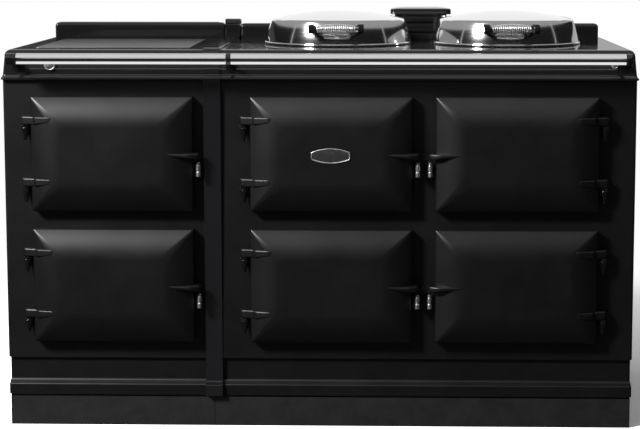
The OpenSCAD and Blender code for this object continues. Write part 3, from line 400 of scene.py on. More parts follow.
def fitting_black():
    """Gloss black enamel on small castings: a little grain shows through."""
    finish = Finish("fitting_black", (0.004, 0.004, 0.0042), 0.12)
    finish.roughened(finish.noise(60, 3), 0.09, 0.18)
    finish.bumped(finish.noise(45, 2), 0.5, 0.3)
    finish.bumped(finish.noise(700, 2), 0.08, 0.4)
    return finish.material


def plinth_paint():
    """Matt powder coat: a close pebble of fine melted grains."""
    finish = Finish("plinth_paint", (0.006, 0.006, 0.0064), 0.62)
    finish.roughened(finish.noise(25, 3), 0.55, 0.70)
    finish.coloured(finish.noise(60, 4), (0.005, 0.005, 0.0053), (0.007, 0.007, 0.0074))
    finish.bumped(finish.cells(900), 0.06, 0.5)
    return finish.material


# %% [markdown]
# Chrome is almost colourless and very smooth. What makes it read as metal is what it
# mirrors, broken by fine polishing lines that run round a turned part. The lines are a
# noise that changes only across them: on a lid, with the distance from its axis and the
# height.


# %% Bright metals
LID_MIDDLES = {side: (node_box("lid_liner_" + side)[0] + node_box("lid_liner_" + side)[1]) / 2
               for side in ("left", "right")}


def chrome(name="chrome", colour=(0.80, 0.80, 0.81), roughness=(0.04, 0.09)):
    """Polished plating, with faint clouding and hairline scratches."""
    finish = Finish(name, colour, roughness[0], 1.0)
    finish.roughened(finish.noise(40, 4), *roughness)
    finish.bumped(finish.noise(5, 1, finish.scaled(4, 400, 400)), 0.02, 0.12)
    return finish.material


def lid_chrome(side):
    """Plated steel spun on a lathe: rings of noise on the distance from the lid's axis."""
    finish = Finish("lid_chrome_" + side, (0.78, 0.78, 0.79), 0.1, 1.0)
    x, y = (float(value) * MM for value in LID_MIDDLES[side][:2])
    centred = finish.add("ShaderNodeMapping", {"Vector": finish.place, "Location": (-x, -y, 0),
                                               "Scale": (1, 1, 0)}).outputs["Vector"]
    radius = finish.add("ShaderNodeVectorMath", {0: centred}, operation="LENGTH").outputs["Value"]
    high = finish.add("ShaderNodeSeparateXYZ", {"Vector": finish.place}).outputs["Z"]
    line = finish.add("ShaderNodeCombineXYZ", {"X": radius, "Z": high}).outputs["Vector"]
    finish.roughened(finish.noise(900, 2, line), 0.07, 0.14)
    finish.bumped(finish.noise(700, 2, line), 0.02, 0.25)
    finish.bumped(finish.noise(9, 1), 0.4, 0.10)
    return finish.material


# %% [markdown]
# Bar, plate and sheet are steel too, but duller: each is ground, rolled or dipped, and
# that shows as fine lines, faint dents or a spangle. Roughness and bump carry
# these, since a colour alone would look painted.


# %% Dull metals
def bright_steel():
    """Plain bright bar and ring stock, brushed from left to right."""
    finish = Finish("bright_steel", (0.58, 0.58, 0.60), 0.25, 1.0)
    finish.roughened(finish.noise(60, 3, finish.scaled(1, 20, 20)), 0.20, 0.36)
    finish.bumped(finish.noise(500, 1, finish.scaled(0.1, 1, 1)), 0.03, 0.3)
    return finish.material


def warming_steel():
    """Satin grey plate, ground from front to back."""
    finish = Finish("warming_steel", (0.17, 0.17, 0.175), 0.3, 1.0)
    finish.roughened(finish.noise(5, 2), 0.29, 0.33)
    finish.bumped(finish.noise(900, 1, finish.scaled(1, 0.02, 1)), 0.02, 0.15)
    return finish.material


def liner_metal():
    """Plain rolled sheet, a little clouded and dented."""
    finish = Finish("liner_metal", (0.55, 0.55, 0.56), 0.3, 1.0)
    finish.roughened(finish.noise(30, 4), 0.26, 0.40)
    finish.bumped(finish.noise(18, 2), 0.4, 0.2)
    return finish.material


def galvanised():
    """Zinc on sheet steel: a spangle of cells, each with its own grey."""
    finish = Finish("galvanised", (0.46, 0.47, 0.48), 0.42, 0.85)
    shade = finish.cells(110, "Color")
    grey = finish.add("ShaderNodeSeparateColor", {"Color": shade}).outputs["Red"]
    finish.coloured(grey, (0.44, 0.45, 0.46), (0.47, 0.48, 0.49))
    finish.roughened(grey, 0.42, 0.46)
    finish.bumped(finish.noise(8, 2), 0.6, 0.2)
    return finish.material


def badge_metal(name, colour, roughness, metallic):
    """The badge's rim or its bare face, with a very fine clouding."""
    finish = Finish(name, colour, roughness, metallic)
    finish.roughened(finish.noise(90, 3), roughness * 0.8, roughness * 1.5)
    finish.bumped(finish.noise(260, 2), 0.04, 0.2)
    return finish.material


# %% [markdown]
# Behind the doors and under the lids are plainer stuffs: speckled grey enamel in the
# ovens, machined iron on the hotplates, a woven rope seal, moulded knobs, a heat-coloured
# element, and loose mineral wool inside.


# %% Oven, hotplate and seal
def oven_iron():
    """Grey enamel with pale specks, as ovens are lined."""
    finish = Finish("oven_iron", (0.055, 0.055, 0.058), 0.35)
    speck = finish.spread(finish.cells(260), 1, 0, 0.08, 0.22)
    finish.coloured(speck, (0.045, 0.045, 0.048), (0.16, 0.16, 0.17))
    finish.roughened(finish.noise(20, 3), 0.30, 0.45)
    finish.bumped(finish.noise(180, 2), 0.1, 0.4)
    return finish.material


def hotplate_iron():
    """Bare machined iron, mottled by heat and use."""
    finish = Finish("hotplate_iron", (0.10, 0.10, 0.10), 0.45, 0.6)
    finish.coloured(finish.noise(14, 4), (0.07, 0.068, 0.066), (0.13, 0.13, 0.13))
    finish.roughened(finish.noise(50, 3), 0.36, 0.55)
    finish.bumped(finish.noise(900, 2), 0.06, 0.5)
    return finish.material


def seal_fibre():
    """Woven heat-proof tape: two crossed waves of yarn, with painted shade where the weave lies low."""
    finish = Finish("seal_fibre", (0.30, 0.30, 0.28), 0.9)
    across = finish.add("ShaderNodeTexWave", {"Vector": finish.place, "Scale": 320.0},
                        bands_direction="X").outputs["Fac"]
    along = finish.add("ShaderNodeTexWave", {"Vector": finish.place, "Scale": 320.0},
                       bands_direction="Z").outputs["Fac"]
    weave_relief_and_shade = finish.add("ShaderNodeMath", {0: across, 1: along}, operation="MULTIPLY").outputs[0]
    # Painted shade: the colour is darker where the weave lies low, between the yarns.
    finish.coloured(weave_relief_and_shade, (0.22, 0.22, 0.20), (0.38, 0.37, 0.34))
    finish.bumped(weave_relief_and_shade, 0.5, 0.8)
    return finish.material


# %% Wool, plastic and sheath
def mineral_wool():
    """Loose yellow-brown wool."""
    finish = Finish("mineral_wool", (0.55, 0.48, 0.32), 0.95)
    finish.coloured(finish.noise(90, 5), (0.44, 0.37, 0.22), (0.62, 0.55, 0.38))
    finish.bumped(finish.noise(160, 5), 2.0, 0.9)
    return finish.material


def knob_plastic():
    """Black moulded plastic with a fine spark-eroded grain."""
    finish = Finish("knob_plastic", (0.018, 0.018, 0.018), 0.38)
    finish.roughened(finish.noise(120, 3), 0.32, 0.46)
    finish.bumped(finish.cells(1400), 0.03, 0.4)
    return finish.material


def element_sheath():
    """Steel sheath coloured by heat."""
    finish = Finish("element_sheath", (0.18, 0.12, 0.09), 0.5, 0.8)
    finish.coloured(finish.noise(16, 3), (0.13, 0.09, 0.08), (0.24, 0.16, 0.11))
    finish.roughened(finish.noise(60, 3), 0.42, 0.6)
    return finish.material


# %% A finish for each slot of the record
FINISHES = {make.__name__: make() for make in (
    front_enamel, top_enamel, fitting_black, plinth_paint, chrome, bright_steel, warming_steel,
    liner_metal, galvanised, oven_iron, hotplate_iron, seal_fibre, mineral_wool, knob_plastic,
    element_sheath)}
FINISHES["lid_chrome"] = lid_chrome("left")
FINISHES["badge_metal"] = badge_metal("badge_rim", (0.75, 0.75, 0.76), 0.32, 1.0)
LID_FINISH = {"left": FINISHES["lid_chrome"], "right": lid_chrome("right")}
BADGE_FACE = badge_metal("badge_face", (0.04, 0.04, 0.042), 0.35, 0.5)
PULL_CHROME = chrome("pull_chrome", (0.88, 0.88, 0.88), (0.32, 0.40))
GRIP_CHROME = chrome("grip_chrome", (0.88, 0.88, 0.88), (0.30, 0.38))
for node, slot in SLOTS.items():
    materials = frame["nodes"][node].data.materials
    materials.clear()
    materials.append(FINISHES[slot])
print(len(FINISHES), "finishes on", len(SLOTS), "nodes")

# %% [markdown]
# ## Doors
#
# Each door is a shallow casting: an upright rim, then a broad slope that eases into a
# raised middle. Modelling it with a bevel would give one round edge; the real slope is
# 71 mm wide and mitred at the corners. So the door is drawn as levels: at each height
# off the back face the outline stands in by the section's inset, and the corner radius
# grows a little towards the middle.

# %% The door's sizes
DOOR_W, DOOR_H = 378, 269
RIM, RISE, SLOPE = 22, 49, 71
EDGE_R, EDGE_CENTRE = 6, 18.4
POCKET_IN, POCKET = 16, 14
PLUG_DEPTH = 25
HINGE_SIDE = {"roasting": 1, "baking": 1, "simmering": -1, "control": -1, "slow_cook": -1,
              "warming": -1}
HINGE_OUT, AXIS_OUT = 14.4, 12.7
ARM_HEIGHTS = (78, -67)
ARM_H, ARM_GAP = 21, 0.3
POST_H = 36
PULL_PLACE = np.array([DOOR_W / 2 + 12.5, 0, 24])
print("doors", DOOR_W, "by", DOOR_H, "mm, standing out", RISE)


def slope_rise(share):
    """Height of the slope as a share of its whole: 1 - (1 - share)^2, steep at the rim
    and lying flat where it meets the middle, so no line shows there."""
    return 1 - (1 - share) ** 2


def door_place(name):
    """Turns a door's own (across, up, out) into world points: across runs from the hinge
    to the free edge, out runs from the door's back face towards the viewer."""
    low, high = node_box("liner_" + name)
    origin = np.array([(low[0] + high[0]) / 2, high[1] - PLUG_DEPTH, (low[2] + high[2]) / 2])
    axes = np.array([[-HINGE_SIDE[name], 0, 0], [0, 0, 1], [0, -1, 0]], float)
    return lambda points: origin + points @ axes


# %% The casting
def casting():
    """Levels (inset, out): pocket, back rim, upright rim, round edge, slope, middle."""
    share = np.linspace(0.035, 1, 24)
    section = joined(
        [(POCKET_IN, POCKET), (POCKET_IN, 1), (POCKET_IN - 1, 0), (1, 0), (0, 1), (0, 10)],
        arc((EDGE_R, EDGE_CENTRE), EDGE_R, 180, 126, 6),
        np.column_stack([share * SLOPE, RIM + (RISE - RIM) * slope_rise(share)]))
    return stacked(section, lambda inset: rounded_box(
        inset - DOOR_W / 2, DOOR_W / 2 - inset, inset - DOOR_H / 2, DOOR_H / 2 - inset,
        3 + 19 * inset / SLOPE))


print("door casting:", casting().shape[0], "levels of", casting().shape[1], "points")

# %% [markdown]
# The arms and the rib grow out of the slope. Each is a plate drawn from above, with round
# edges, and its underside is lifted towards the tip so that it thins out as it runs in.


# %% Arms, latch rib and its pin
def swap_up(grid):
    """A slab drawn on (across, out) and standing up: its last two values change places."""
    return grid[:, :, [0, 2, 1]]


def tapered(grid, top, start, end, least):
    """Lifts the underside of a slab towards its top: its height becomes a share that
    goes from 1 at across = start to least at across = end."""
    share = np.clip((grid[:, :, 0] - start) / (end - start), 0, 1)
    grid = grid.copy()
    grid[:, :, 2] = top - (top - grid[:, :, 2]) * (1 - (1 - least) * share)
    return grid


def arm(up):
    """A hinge arm: a boss round the pin's axis and a tongue that grows out of the slope
    and thins towards its tip."""
    start = -DOOR_W / 2 - HINGE_OUT
    boss = arc((0, AXIS_OUT), 10, 270, 90, 12)
    tongue = filleted([(22.4, 35, 8), (58, 46.5, 6), (66, 46, 2), (66, 20, 1), (16.4, 12, 1),
                       (16.4, 3.5, 0.5)])
    outline = joined(boss, tongue)
    outline[:, 0] += start
    grid = slab(outline, up - ARM_H / 2, up + ARM_H / 2, 4.5, 5)
    return swap_up(tapered(grid, up + ARM_H / 2, start + 18, start + 66, 0.6))


def latch_rib():
    """The rib across the free edge: a sliver on the slope that deepens to its nose over
    the pull."""
    free = DOOR_W / 2
    outline = filleted([(free + 18, 16, 2), (free + 18, 30, 6), (free + 12, 37, 6),
                        (free - 6, 46.5, 8), (free - 79, 48.5, 1), (free - 71, 30, 1),
                        (free - 8, 13, 1), (free, 13, 1)])
    return swap_up(tapered(slab(outline, -10, 4, 4.5, 5), 4, free + 4, free - 76, 0.22))


def rib_pin():
    """The pin under the rib that carries the pull."""
    pin = turned([(0, -48), (2.5, -48), (2.5, -9)], (0, 0, 0), "z", 24)
    return swap_up(pin) + PULL_PLACE


# %% Six doors
DOOR_GRIDS = [casting(), arm(ARM_HEIGHTS[0]), arm(ARM_HEIGHTS[1]), latch_rib(), rib_pin()]
for name in HINGE_SIDE:
    place = door_place(name)
    dress(name + "_door_casting", [place(grid) for grid in DOOR_GRIDS], ["door_" + name])

# %% [markdown]
# Under each rib hangs a turned chrome pull, with a collar, a groove at its waist and
# rounded ends. A turned part is one profile swept round its axis.


# %% Pulls
def pull():
    """Profile (radius, height) from the foot at -52 to the collar's top at -18."""
    return joined((0, -52), arc((4.6, -51.1), 0.9, 270, 360, 4), arc((4.5, -41), 1.0, 0, 80, 3),
                  (3.6, -39.6), (3.6, -37.8), arc((4.5, -36.4), 1.0, -80, 0, 3),
                  arc((4.5, -25.6), 1.0, 0, 80, 3), (3.0, -24.2), (3.0, -23.8), (4.6, -23.4),
                  (4.6, -18.8), (3.8, -18), (0, -18))


for name in HINGE_SIDE:
    place = door_place(name)
    grid = swap_up(turned(pull(), (0, 0, 0), "z", 40)) + PULL_PLACE
    dress(name + "_pull_turned", [place(grid)], ["pull_" + name], finish=PULL_CHROME)

# %% [markdown]
# Each arm rides over a small black post: a bracket off the front plate that ends in a
# turned body tapering to a button, with the pin standing up into the arm's eye.


# %% Hinge posts
def hinge_post(up):
    """The turned body and pin under one arm, and the bracket behind them."""
    top = up - ARM_H / 2 - ARM_GAP
    start = -DOOR_W / 2 - HINGE_OUT
    profile = joined((0, top - POST_H), arc((1.6, top - POST_H + 1.8), 1.8, 270, 330, 4), (9.4, top - 9),
                     arc((8.3, top - 7), 2.2, -30, 60, 5), (9.6, top - 4), (10.6, top - 3),
                     (10.6, top - 0.8), (9.8, top), (3.99, top), (3.99, top + ARM_H - 2),
                     (3.2, top + ARM_H - 1.2), (0, top + ARM_H - 1.2))
    body = swap_up(turned(profile, (0, 0, 0), "z", 36)) + np.array([start, 0, AXIS_OUT])
    plate = filleted([(start - 6, -3.3, 0.5), (start + 6, -3.3, 0.5), (start + 6, AXIS_OUT, 1),
                      (start - 6, AXIS_OUT, 1)])
    return [body, swap_up(slab(plate, top - 13, top - 3, 1.2))]


dress("hinge_posts_turned",
      [door_place(name)(grid) for name in HINGE_SIDE for up in ARM_HEIGHTS for grid in hinge_post(up)],
      ["door_hinge_posts"])

# %% [markdown]
# The badge is bare: a half-round chrome rim about a dark face that is very slightly
# crowned. Its outline bows out above and below and has blunt ends, so an ellipse won't
# do. The one outline is drawn in step by step for the rim and for the face.

# %% Badge
BADGE_A, BADGE_B, BADGE_END = 45.5, 18, 9


def badge_outline():
    """Half height 18 - 9 (x / 45.5)^2 above and below, and blunt rounded ends."""
    x = np.linspace(-BADGE_A + 4, BADGE_A - 4, 40)
    y = BADGE_B - BADGE_END * (x / BADGE_A) ** 2
    end = bezier((BADGE_A - 4, -y[0]), (BADGE_A, -BADGE_END), (BADGE_A, -BADGE_END + 3.5), 5)[1:]
    right = joined(end, end[::-1] * (1, -1))
    return joined(np.column_stack([x, -y]), right, np.column_stack([x, y])[::-1], -right)


def oval(inset):
    """The badge's outline drawn in by the inset; past 5 mm it only shrinks on."""
    outline = drawn_in(badge_outline(), min(inset, 5))
    return outline * (1 - max(inset - 5, 0) / 14)


RIM_SECTION = joined((0, RISE - 1), (0, RISE + 0.8), arc((1.6, RISE + 0.6), 1.6, 174, 10, 8),
                     (3.6, RISE + 0.9), (3.6, RISE - 1))
FACE_SECTION = joined((3.5, RISE - 1), (3.5, RISE + 0.5), (4.6, RISE + 0.9), (8, RISE + 1.25),
                      (13, RISE + 1.5), (17.4, RISE + 1.55))
place = door_place("control")
dress("badge_rim", [place(stacked(RIM_SECTION, oval))], ["door_badge"])
add_piece("badge_face", [place(stacked(FACE_SECTION, oval))], ["door_badge"], finish=BADGE_FACE)

# %% [markdown]
# ## Top plates
#
# Each top plate is one casting whose edge is moulded in front and at its outer side:
# a thin lip at the foot, a face that leans in, and a broad round into the top. The
# section is carried round the corner by drawing the whole outline in, level by level.

# %% The moulded edge
MODULE_LOW, MODULE_HIGH = node_box("top_plate_module")
MAIN_LOW, MAIN_HIGH = node_box("top_plate_main")
LIP_Z, TOP_Z = MODULE_LOW[2], MODULE_HIGH[2]
LIP_Y, BACK_Y = MODULE_LOW[1], MODULE_HIGH[1]
EDGE_INSET, TOP_R = 9, 14
TOP_SECTION = joined((0.8, LIP_Z), (0, LIP_Z + 0.8), (0, LIP_Z + 3.6),
                     arc((2, LIP_Z + 4), 2, 180, 100, 4), (2.8, LIP_Z + 7.2),
                     bezier((3.2, LIP_Z + 8.2), (4.6, LIP_Z + 10.5), (5, LIP_Z + 14), 4),
                     arc((EDGE_INSET + TOP_R, TOP_Z - TOP_R), TOP_R, 176, 90, 12))
print("top plates from", LIP_Z, "to", TOP_Z, "mm, their edge drawn with", len(TOP_SECTION), "points")


def top_plate(low, high, outer):
    """Levels of the plate: the outline drawn in by the section in front and at the outer
    side, which is -1 for the left and 1 for the right."""
    def outline(inset):
        x0 = low[0] + (inset if outer < 0 else 0)
        x1 = high[0] - (inset if outer > 0 else 0)
        corner = max(9 - inset * 0.3, 4)
        radii = (corner, 0.6, 0.6, 0.6) if outer < 0 else (0.6, corner, 0.6, 0.6)
        return rounded_box(x0, x1, LIP_Y + inset, BACK_Y, radii)

    return stacked(TOP_SECTION, outline)


# %% The module's plate with its recess, the main plate, and the warming plate
WARM_LOW, WARM_HIGH = node_box("warming_plate")


def warm_loop(out, radius):
    """The warming plate's outline grown by out."""
    return rounded_box(WARM_LOW[0] - out, WARM_HIGH[0] + out, WARM_LOW[1] - out, WARM_HIGH[1] + out,
                       radius)


recess = levels([warm_loop(2.4, 10.4), warm_loop(2.0, 10), warm_loop(2.0, 10)],
                [TOP_Z, TOP_Z - 0.5, TOP_Z - 6])
module_plate = np.concatenate([top_plate(MODULE_LOW, MODULE_HIGH, -1), recess])
dress("module_top_casting", [module_plate], ["top_plate_module"])
dress("main_top_casting", [top_plate(MAIN_LOW, MAIN_HIGH, 1)], ["top_plate_main"])
WARM_EDGE = 1.2
warm_section = joined((0, WARM_LOW[2]), (0, WARM_HIGH[2] - WARM_EDGE),
                      arc((WARM_EDGE, WARM_HIGH[2] - WARM_EDGE), WARM_EDGE, 180, 90, 4),
                      (30, WARM_HIGH[2]))
warm_grid = stacked(warm_section, lambda inset: warm_loop(-inset, max(8 - inset, 2)))
dress("warming_plate_ground", [warm_grid], ["warming_plate"])

# %% [markdown]
# Along the back of each plate stands a low bar with a rounded top, to keep pans off the
# wall. Its levels draw in along a quarter circle at the top.


# %% Upstands
def block(low, high, section, corner, least):
    """A block between the corners low and high, seen from above, drawn in by the section;
    its corner radius shrinks by 0.3 of the inset, down to least."""
    return stacked(section, lambda inset: rounded_box(
        low[0] + inset, high[0] - inset, low[1] + inset, high[1] - inset,
        max(corner - inset * 0.3, least)))


def upstand(low, high, radius=10):
    """A bar from low to high: the outline draws in by radius (1 - cos a) as it rises by
    radius sin a over its last stretch."""
    section = joined((0, low[2]), (0, high[2] - radius), arc((radius, high[2] - radius), radius, 180, 90, 8))
    return block(low, high, section, 7, 3)


COVER_LOW, COVER_HIGH = node_box("joint_cover")
UP_LOW, UP_HIGH = node_box("upstands")
MODULE_UP_H, MAIN_UP_H = 40, 38
dress("upstand_bars",
      [upstand(UP_LOW, (COVER_LOW[0], UP_HIGH[1], TOP_Z + MODULE_UP_H)),
       upstand((COVER_HIGH[0], UP_LOW[1], TOP_Z), (UP_HIGH[0], UP_HIGH[1], TOP_Z + MAIN_UP_H))],
      ["upstands"])

# %% [markdown]
# The base cover closes the foot of each unit over the plinth: a flat band above a
# moulding with a round nose and a hollow. The joint cover is a strip that follows the
# whole front section, from that moulding up over the lip and back along the top, so its
# outline is drawn once in (y, z) and given a small round along both long edges.

# %% Base covers
BASE_LOW, BASE_HIGH = node_box("base_covers")
BASE_Z, FRONT_Z = BASE_LOW[2], BASE_HIGH[2]
FRONT_Y = node_box("front_plate_main")[0][1]
MODULE_END = MODULE_HIGH[0]
MAIN_START = MAIN_LOW[0]


def base_section(step):
    """How far in the base cover stands at each height: a nose, a hollow, a flat band."""
    return joined((0, BASE_Z), (0, BASE_Z + 22), arc((step / 2, BASE_Z + 23), step / 2, 180, 110, 6),
                  arc((0, BASE_Z + 39), step, -60, 0, 6), (step, FRONT_Z))


def base_cover(x0, x1):
    """The cover's levels: drawn in 8 mm in front and 3 mm at each side."""
    front, side = base_section(8), base_section(3)
    loops = [rounded_box(x0 + b[0], x1 - b[0], BASE_LOW[1] + a[0], BASE_HIGH[1], (5, 5, 0.6, 0.6))
             for a, b in zip(front, side)]
    return levels(loops, front[:, 1])


dress("base_covers_moulded", [base_cover(BASE_LOW[0], MODULE_END), base_cover(MAIN_START, BASE_HIGH[0])],
      ["base_covers"])

# %% Joint cover
COVER_OUT, COVER_T = 10, 4
BLOCK_Y = COVER_HIGH[1] - 51
BLOCK_TOP = COVER_HIGH[2]


def joint_cover():
    """The strip's outline in (y, z): its outer side up from the floor of the base cover
    and back over the top, then its inner side home again."""
    foot = base_section(8) + (FRONT_Y, 0)
    edge = TOP_SECTION[1:] + (LIP_Y, 0)
    lift = COVER_T * (edge[:, 1] - LIP_Z) / (TOP_Z - LIP_Z)
    outer = joined(foot - (COVER_OUT, 0), (FRONT_Y - COVER_OUT, LIP_Z - COVER_T - 2),
                   np.column_stack([edge[:, 0] - COVER_T, np.maximum(edge[:, 1] + lift, LIP_Z - COVER_T)]),
                   (BLOCK_Y + 6, TOP_Z + COVER_T))
    inner = joined((BLOCK_Y + 6, TOP_Z - 1), edge[::-1] + (4, -1), (FRONT_Y + 1, LIP_Z - 1),
                   foot[::-1] + (1, 0))
    return slab(joined(outer, inner), COVER_LOW[0], COVER_HIGH[0], 0.9)[:, :, [2, 0, 1]]


def end_block():
    """The block at the strip's back end, with a round top."""
    outline = filleted([(BLOCK_Y, TOP_Z - 1, 0.3), (BACK_Y, TOP_Z - 1, 0.3), (BACK_Y, BLOCK_TOP, 17),
                        (BLOCK_Y, BLOCK_TOP, 17)], 8)
    return slab(outline, COVER_LOW[0], COVER_HIGH[0], 2.5)[:, :, [2, 0, 1]]


dress("joint_cover_strip", [joint_cover(), end_block()], ["joint_cover"],
      finish=FINISHES["top_enamel"])

# %% [markdown]
# ## Lids
#
# A lid is spun from sheet: a low dome, a tight shoulder, a side that leans out, and a
# rolled bead at the rim. Spun parts are turned profiles too. Behind, two lugs carry the
# lid on its pin; in front, two black posts hold the grip.

# %% The lid's shell and lugs
LID_R, LID_H, SIDE_H, DOME_R = 184, 80, 61, 163
LID_Z = node_box("lid_left")[0][2]
AXIS_Y, AXIS_Z = 205, 40


def lid_profile():
    """(radius, height) from the top outside, over the shoulder and bead, and back inside:
    the dome is 61 + 19 (1 - (r/163)^2)."""
    radius = np.linspace(0, 158, 24)
    dome = np.column_stack([radius, SIDE_H + (LID_H - SIDE_H) * (1 - (radius / DOME_R) ** 2)])
    return joined(dome, bezier((158, 62.15), (163.8, 61.2), (166.4, 55.5), 12)[1:],
                  bezier((166.4, 55.5), (175, 32.5), (179.2, 8), 16)[1:], (179.4, 6.6),
                  arc((LID_R - 3, 3), 3, 115, -90, 12), (176.5, 0), (175, 6), (172.2, 33), (0, 34))


def lug(side):
    """One of the two lugs on the hinge pin: an eye and a tongue into the shell."""
    outline = joined(arc((AXIS_Y, AXIS_Z), 14, -90, 135, 18), filleted([(150, 50, 1), (150, 26, 1)]))
    grid = slab(outline, side * 40 - 8, side * 40 + 8, 1.8)[:, :, [2, 0, 1]]
    return grid + (0, 0, TOP_Z)


for side, middle in LID_MIDDLES.items():
    centre = np.array([middle[0], middle[1], 0])
    shell = turned(lid_profile(), (middle[0], middle[1], LID_Z), "z", 160)
    dress("lid_" + side + "_spun", [shell, lug(-1) + centre, lug(1) + centre], ["lid_" + side],
          finish=LID_FINISH[side])


# %% Hinge blocks
HINGE_HALF_W, HINGE_HALF_D, HINGE_H = 31, 17, 54
PIN_R, PIN_HALF = 5.95, 49


def hinge_block(centre):
    """The block behind a lid, with a round back and front edge, and the pin through it."""
    front, back, top = AXIS_Y - HINGE_HALF_D, AXIS_Y + HINGE_HALF_D, TOP_Z + HINGE_H
    outline = filleted([(front, TOP_Z, 0.5), (back, TOP_Z, 0.5), (back, top, 12), (front, top, 12)], 6)
    body = slab(outline, -HINGE_HALF_W, HINGE_HALF_W, 2.2)[:, :, [2, 0, 1]]
    pin = turned([(0, -PIN_HALF), (5, -PIN_HALF), (PIN_R, 1 - PIN_HALF), (PIN_R, PIN_HALF - 1),
                  (5, PIN_HALF), (0, PIN_HALF)], (0, AXIS_Y, TOP_Z + AXIS_Z), "x", 32)
    return [body + centre, pin + centre]


dress("lid_hinges_turned",
      [grid for middle in LID_MIDDLES.values() for grid in hinge_block(np.array([middle[0], middle[1], 0]))],
      ["lid_hinge_blocks"])

# %% [markdown]
# The grip is one bright wire wound round a rod into a barrel, open enough to stay cool.
# A screw modifier can't swell a coil in the middle, so the path is worked out: a helix
# whose radius falls off as the square of the distance from the middle. The tube's frame
# comes from the helix itself, so it never twists.

# %% Wound grips
GRIP_Y, GRIP_Z = -212, 44
GRIP_HALF, TAIL, TURNS = 46.5, 4.5, 19
WIRE_R = 1.45
STEPS = 24


def grip_radius(x):
    """The winding's radius: 13 over the wire in the middle, less 5.5 (x / half)^2."""
    return 13 - WIRE_R - 5.5 * (x / GRIP_HALF) ** 2


def grip_path():
    """The wire's middle line: x runs along the grip, the angle turns 19 times."""
    share = np.linspace(0, 1, TURNS * STEPS + 1)
    x = GRIP_HALF * (2 * share - 1)
    angle = 2 * np.pi * TURNS * share
    coil = np.column_stack([x, grip_radius(x) * np.cos(angle), grip_radius(x) * np.sin(angle)])
    end = grip_radius(GRIP_HALF)
    return joined((-GRIP_HALF - TAIL, end, 0), coil, (GRIP_HALF + TAIL, end, 0))


def wire(path, radius, sides=10):
    """A round wire along the path: radius (cos k n + sin k b), with n the outward
    direction from the rod made square to the wire, and b across both."""
    along = np.gradient(path, axis=0)
    along[[0, -1]] = (1, 0, 0)
    along /= np.linalg.norm(along, axis=1, keepdims=True)
    out = path * (0, 1, 1)
    out /= np.linalg.norm(out, axis=1, keepdims=True)
    out -= np.sum(out * along, axis=1, keepdims=True) * along
    out /= np.linalg.norm(out, axis=1, keepdims=True)
    across = np.cross(along, out)
    k = np.linspace(0, 2 * np.pi, sides, endpoint=False)[None, :, None]
    return path[:, None] + radius * (np.cos(k) * out[:, None] + np.sin(k) * across[:, None])


for side, middle in LID_MIDDLES.items():
    centre = np.array([middle[0], middle[1] + GRIP_Y, TOP_Z + GRIP_Z])
    dress("grip_" + side + "_wound", [wire(grip_path(), WIRE_R) + centre], ["grip_" + side],
          finish=GRIP_CHROME, sharp=60)


# %% Grip posts
GRIP_POST_HALF = 7.5


def grip_posts():
    """Two round posts with arms that run back into the lid, and the rod between them."""
    arm_outline = filleted([(4, -11.5, 6), (46, -10.5, 1), (46, 10.5, 1), (4, 11.5, 6)])
    outline = joined(arc((0, 0), 12.5, 122, 238, 18), arm_outline)
    post = slab(outline, -GRIP_POST_HALF, GRIP_POST_HALF, 3, 4)[:, :, [2, 0, 1]]
    shift = np.array([GRIP_HALF + TAIL + GRIP_POST_HALF, 0, 0])
    rod = turned([(0, -52), (3, -52), (3, 52), (0, 52)], (0, 0, 0), "x", 24)
    return [post - shift, post + shift, rod]


for side, middle in LID_MIDDLES.items():
    centre = np.array([middle[0], middle[1] + GRIP_Y, TOP_Z + GRIP_Z])
    dress("grip_posts_" + side + "_cast", [grid + centre for grid in grip_posts()],
          ["grip_posts_" + side])

# %% [markdown]
# ## Rails, brackets and studs
#
# The two rails are plated tubes. Each end is held by a black bracket with a spigot in
# the tube, whose arm slopes back to a flange on the edge of the top plate.

# %% Rails
RAIL_LOW, RAIL_HIGH = node_box("handrails")
BRACKET_START = node_box("handrail_brackets")[0][0]
RAIL_R = (RAIL_HIGH[2] - RAIL_LOW[2]) / 2
RAIL_Y, RAIL_Z = RAIL_LOW[1] + RAIL_R, RAIL_LOW[2] + RAIL_R
RAIL_SPANS = [(RAIL_LOW[0], (COVER_LOW[0] + COVER_HIGH[0]) / 2 + 40),
              ((COVER_LOW[0] + COVER_HIGH[0]) / 2 + 51, RAIL_HIGH[0])]


def rail(x0, x1):
    """A tube whose ends are turned in a little and closed behind: (radius, distance from
    the end), once from each end."""
    end = np.array([(0, 3), (RAIL_R - 2, 3), (RAIL_R - 2, 0.4), (RAIL_R - 1.4, 0), (RAIL_R - 0.5, 0),
                    (RAIL_R, 0.5)])
    return turned(joined(end + (0, x0), end[::-1] * (1, -1) + (0, x1)), (0, RAIL_Y, RAIL_Z), "x", 96)


dress("handrail_tubes", [rail(*span) for span in RAIL_SPANS], ["handrails"])

# %% Brackets
FLANGE_Y, FLANGE_FALL = LIP_Y + 2, 22


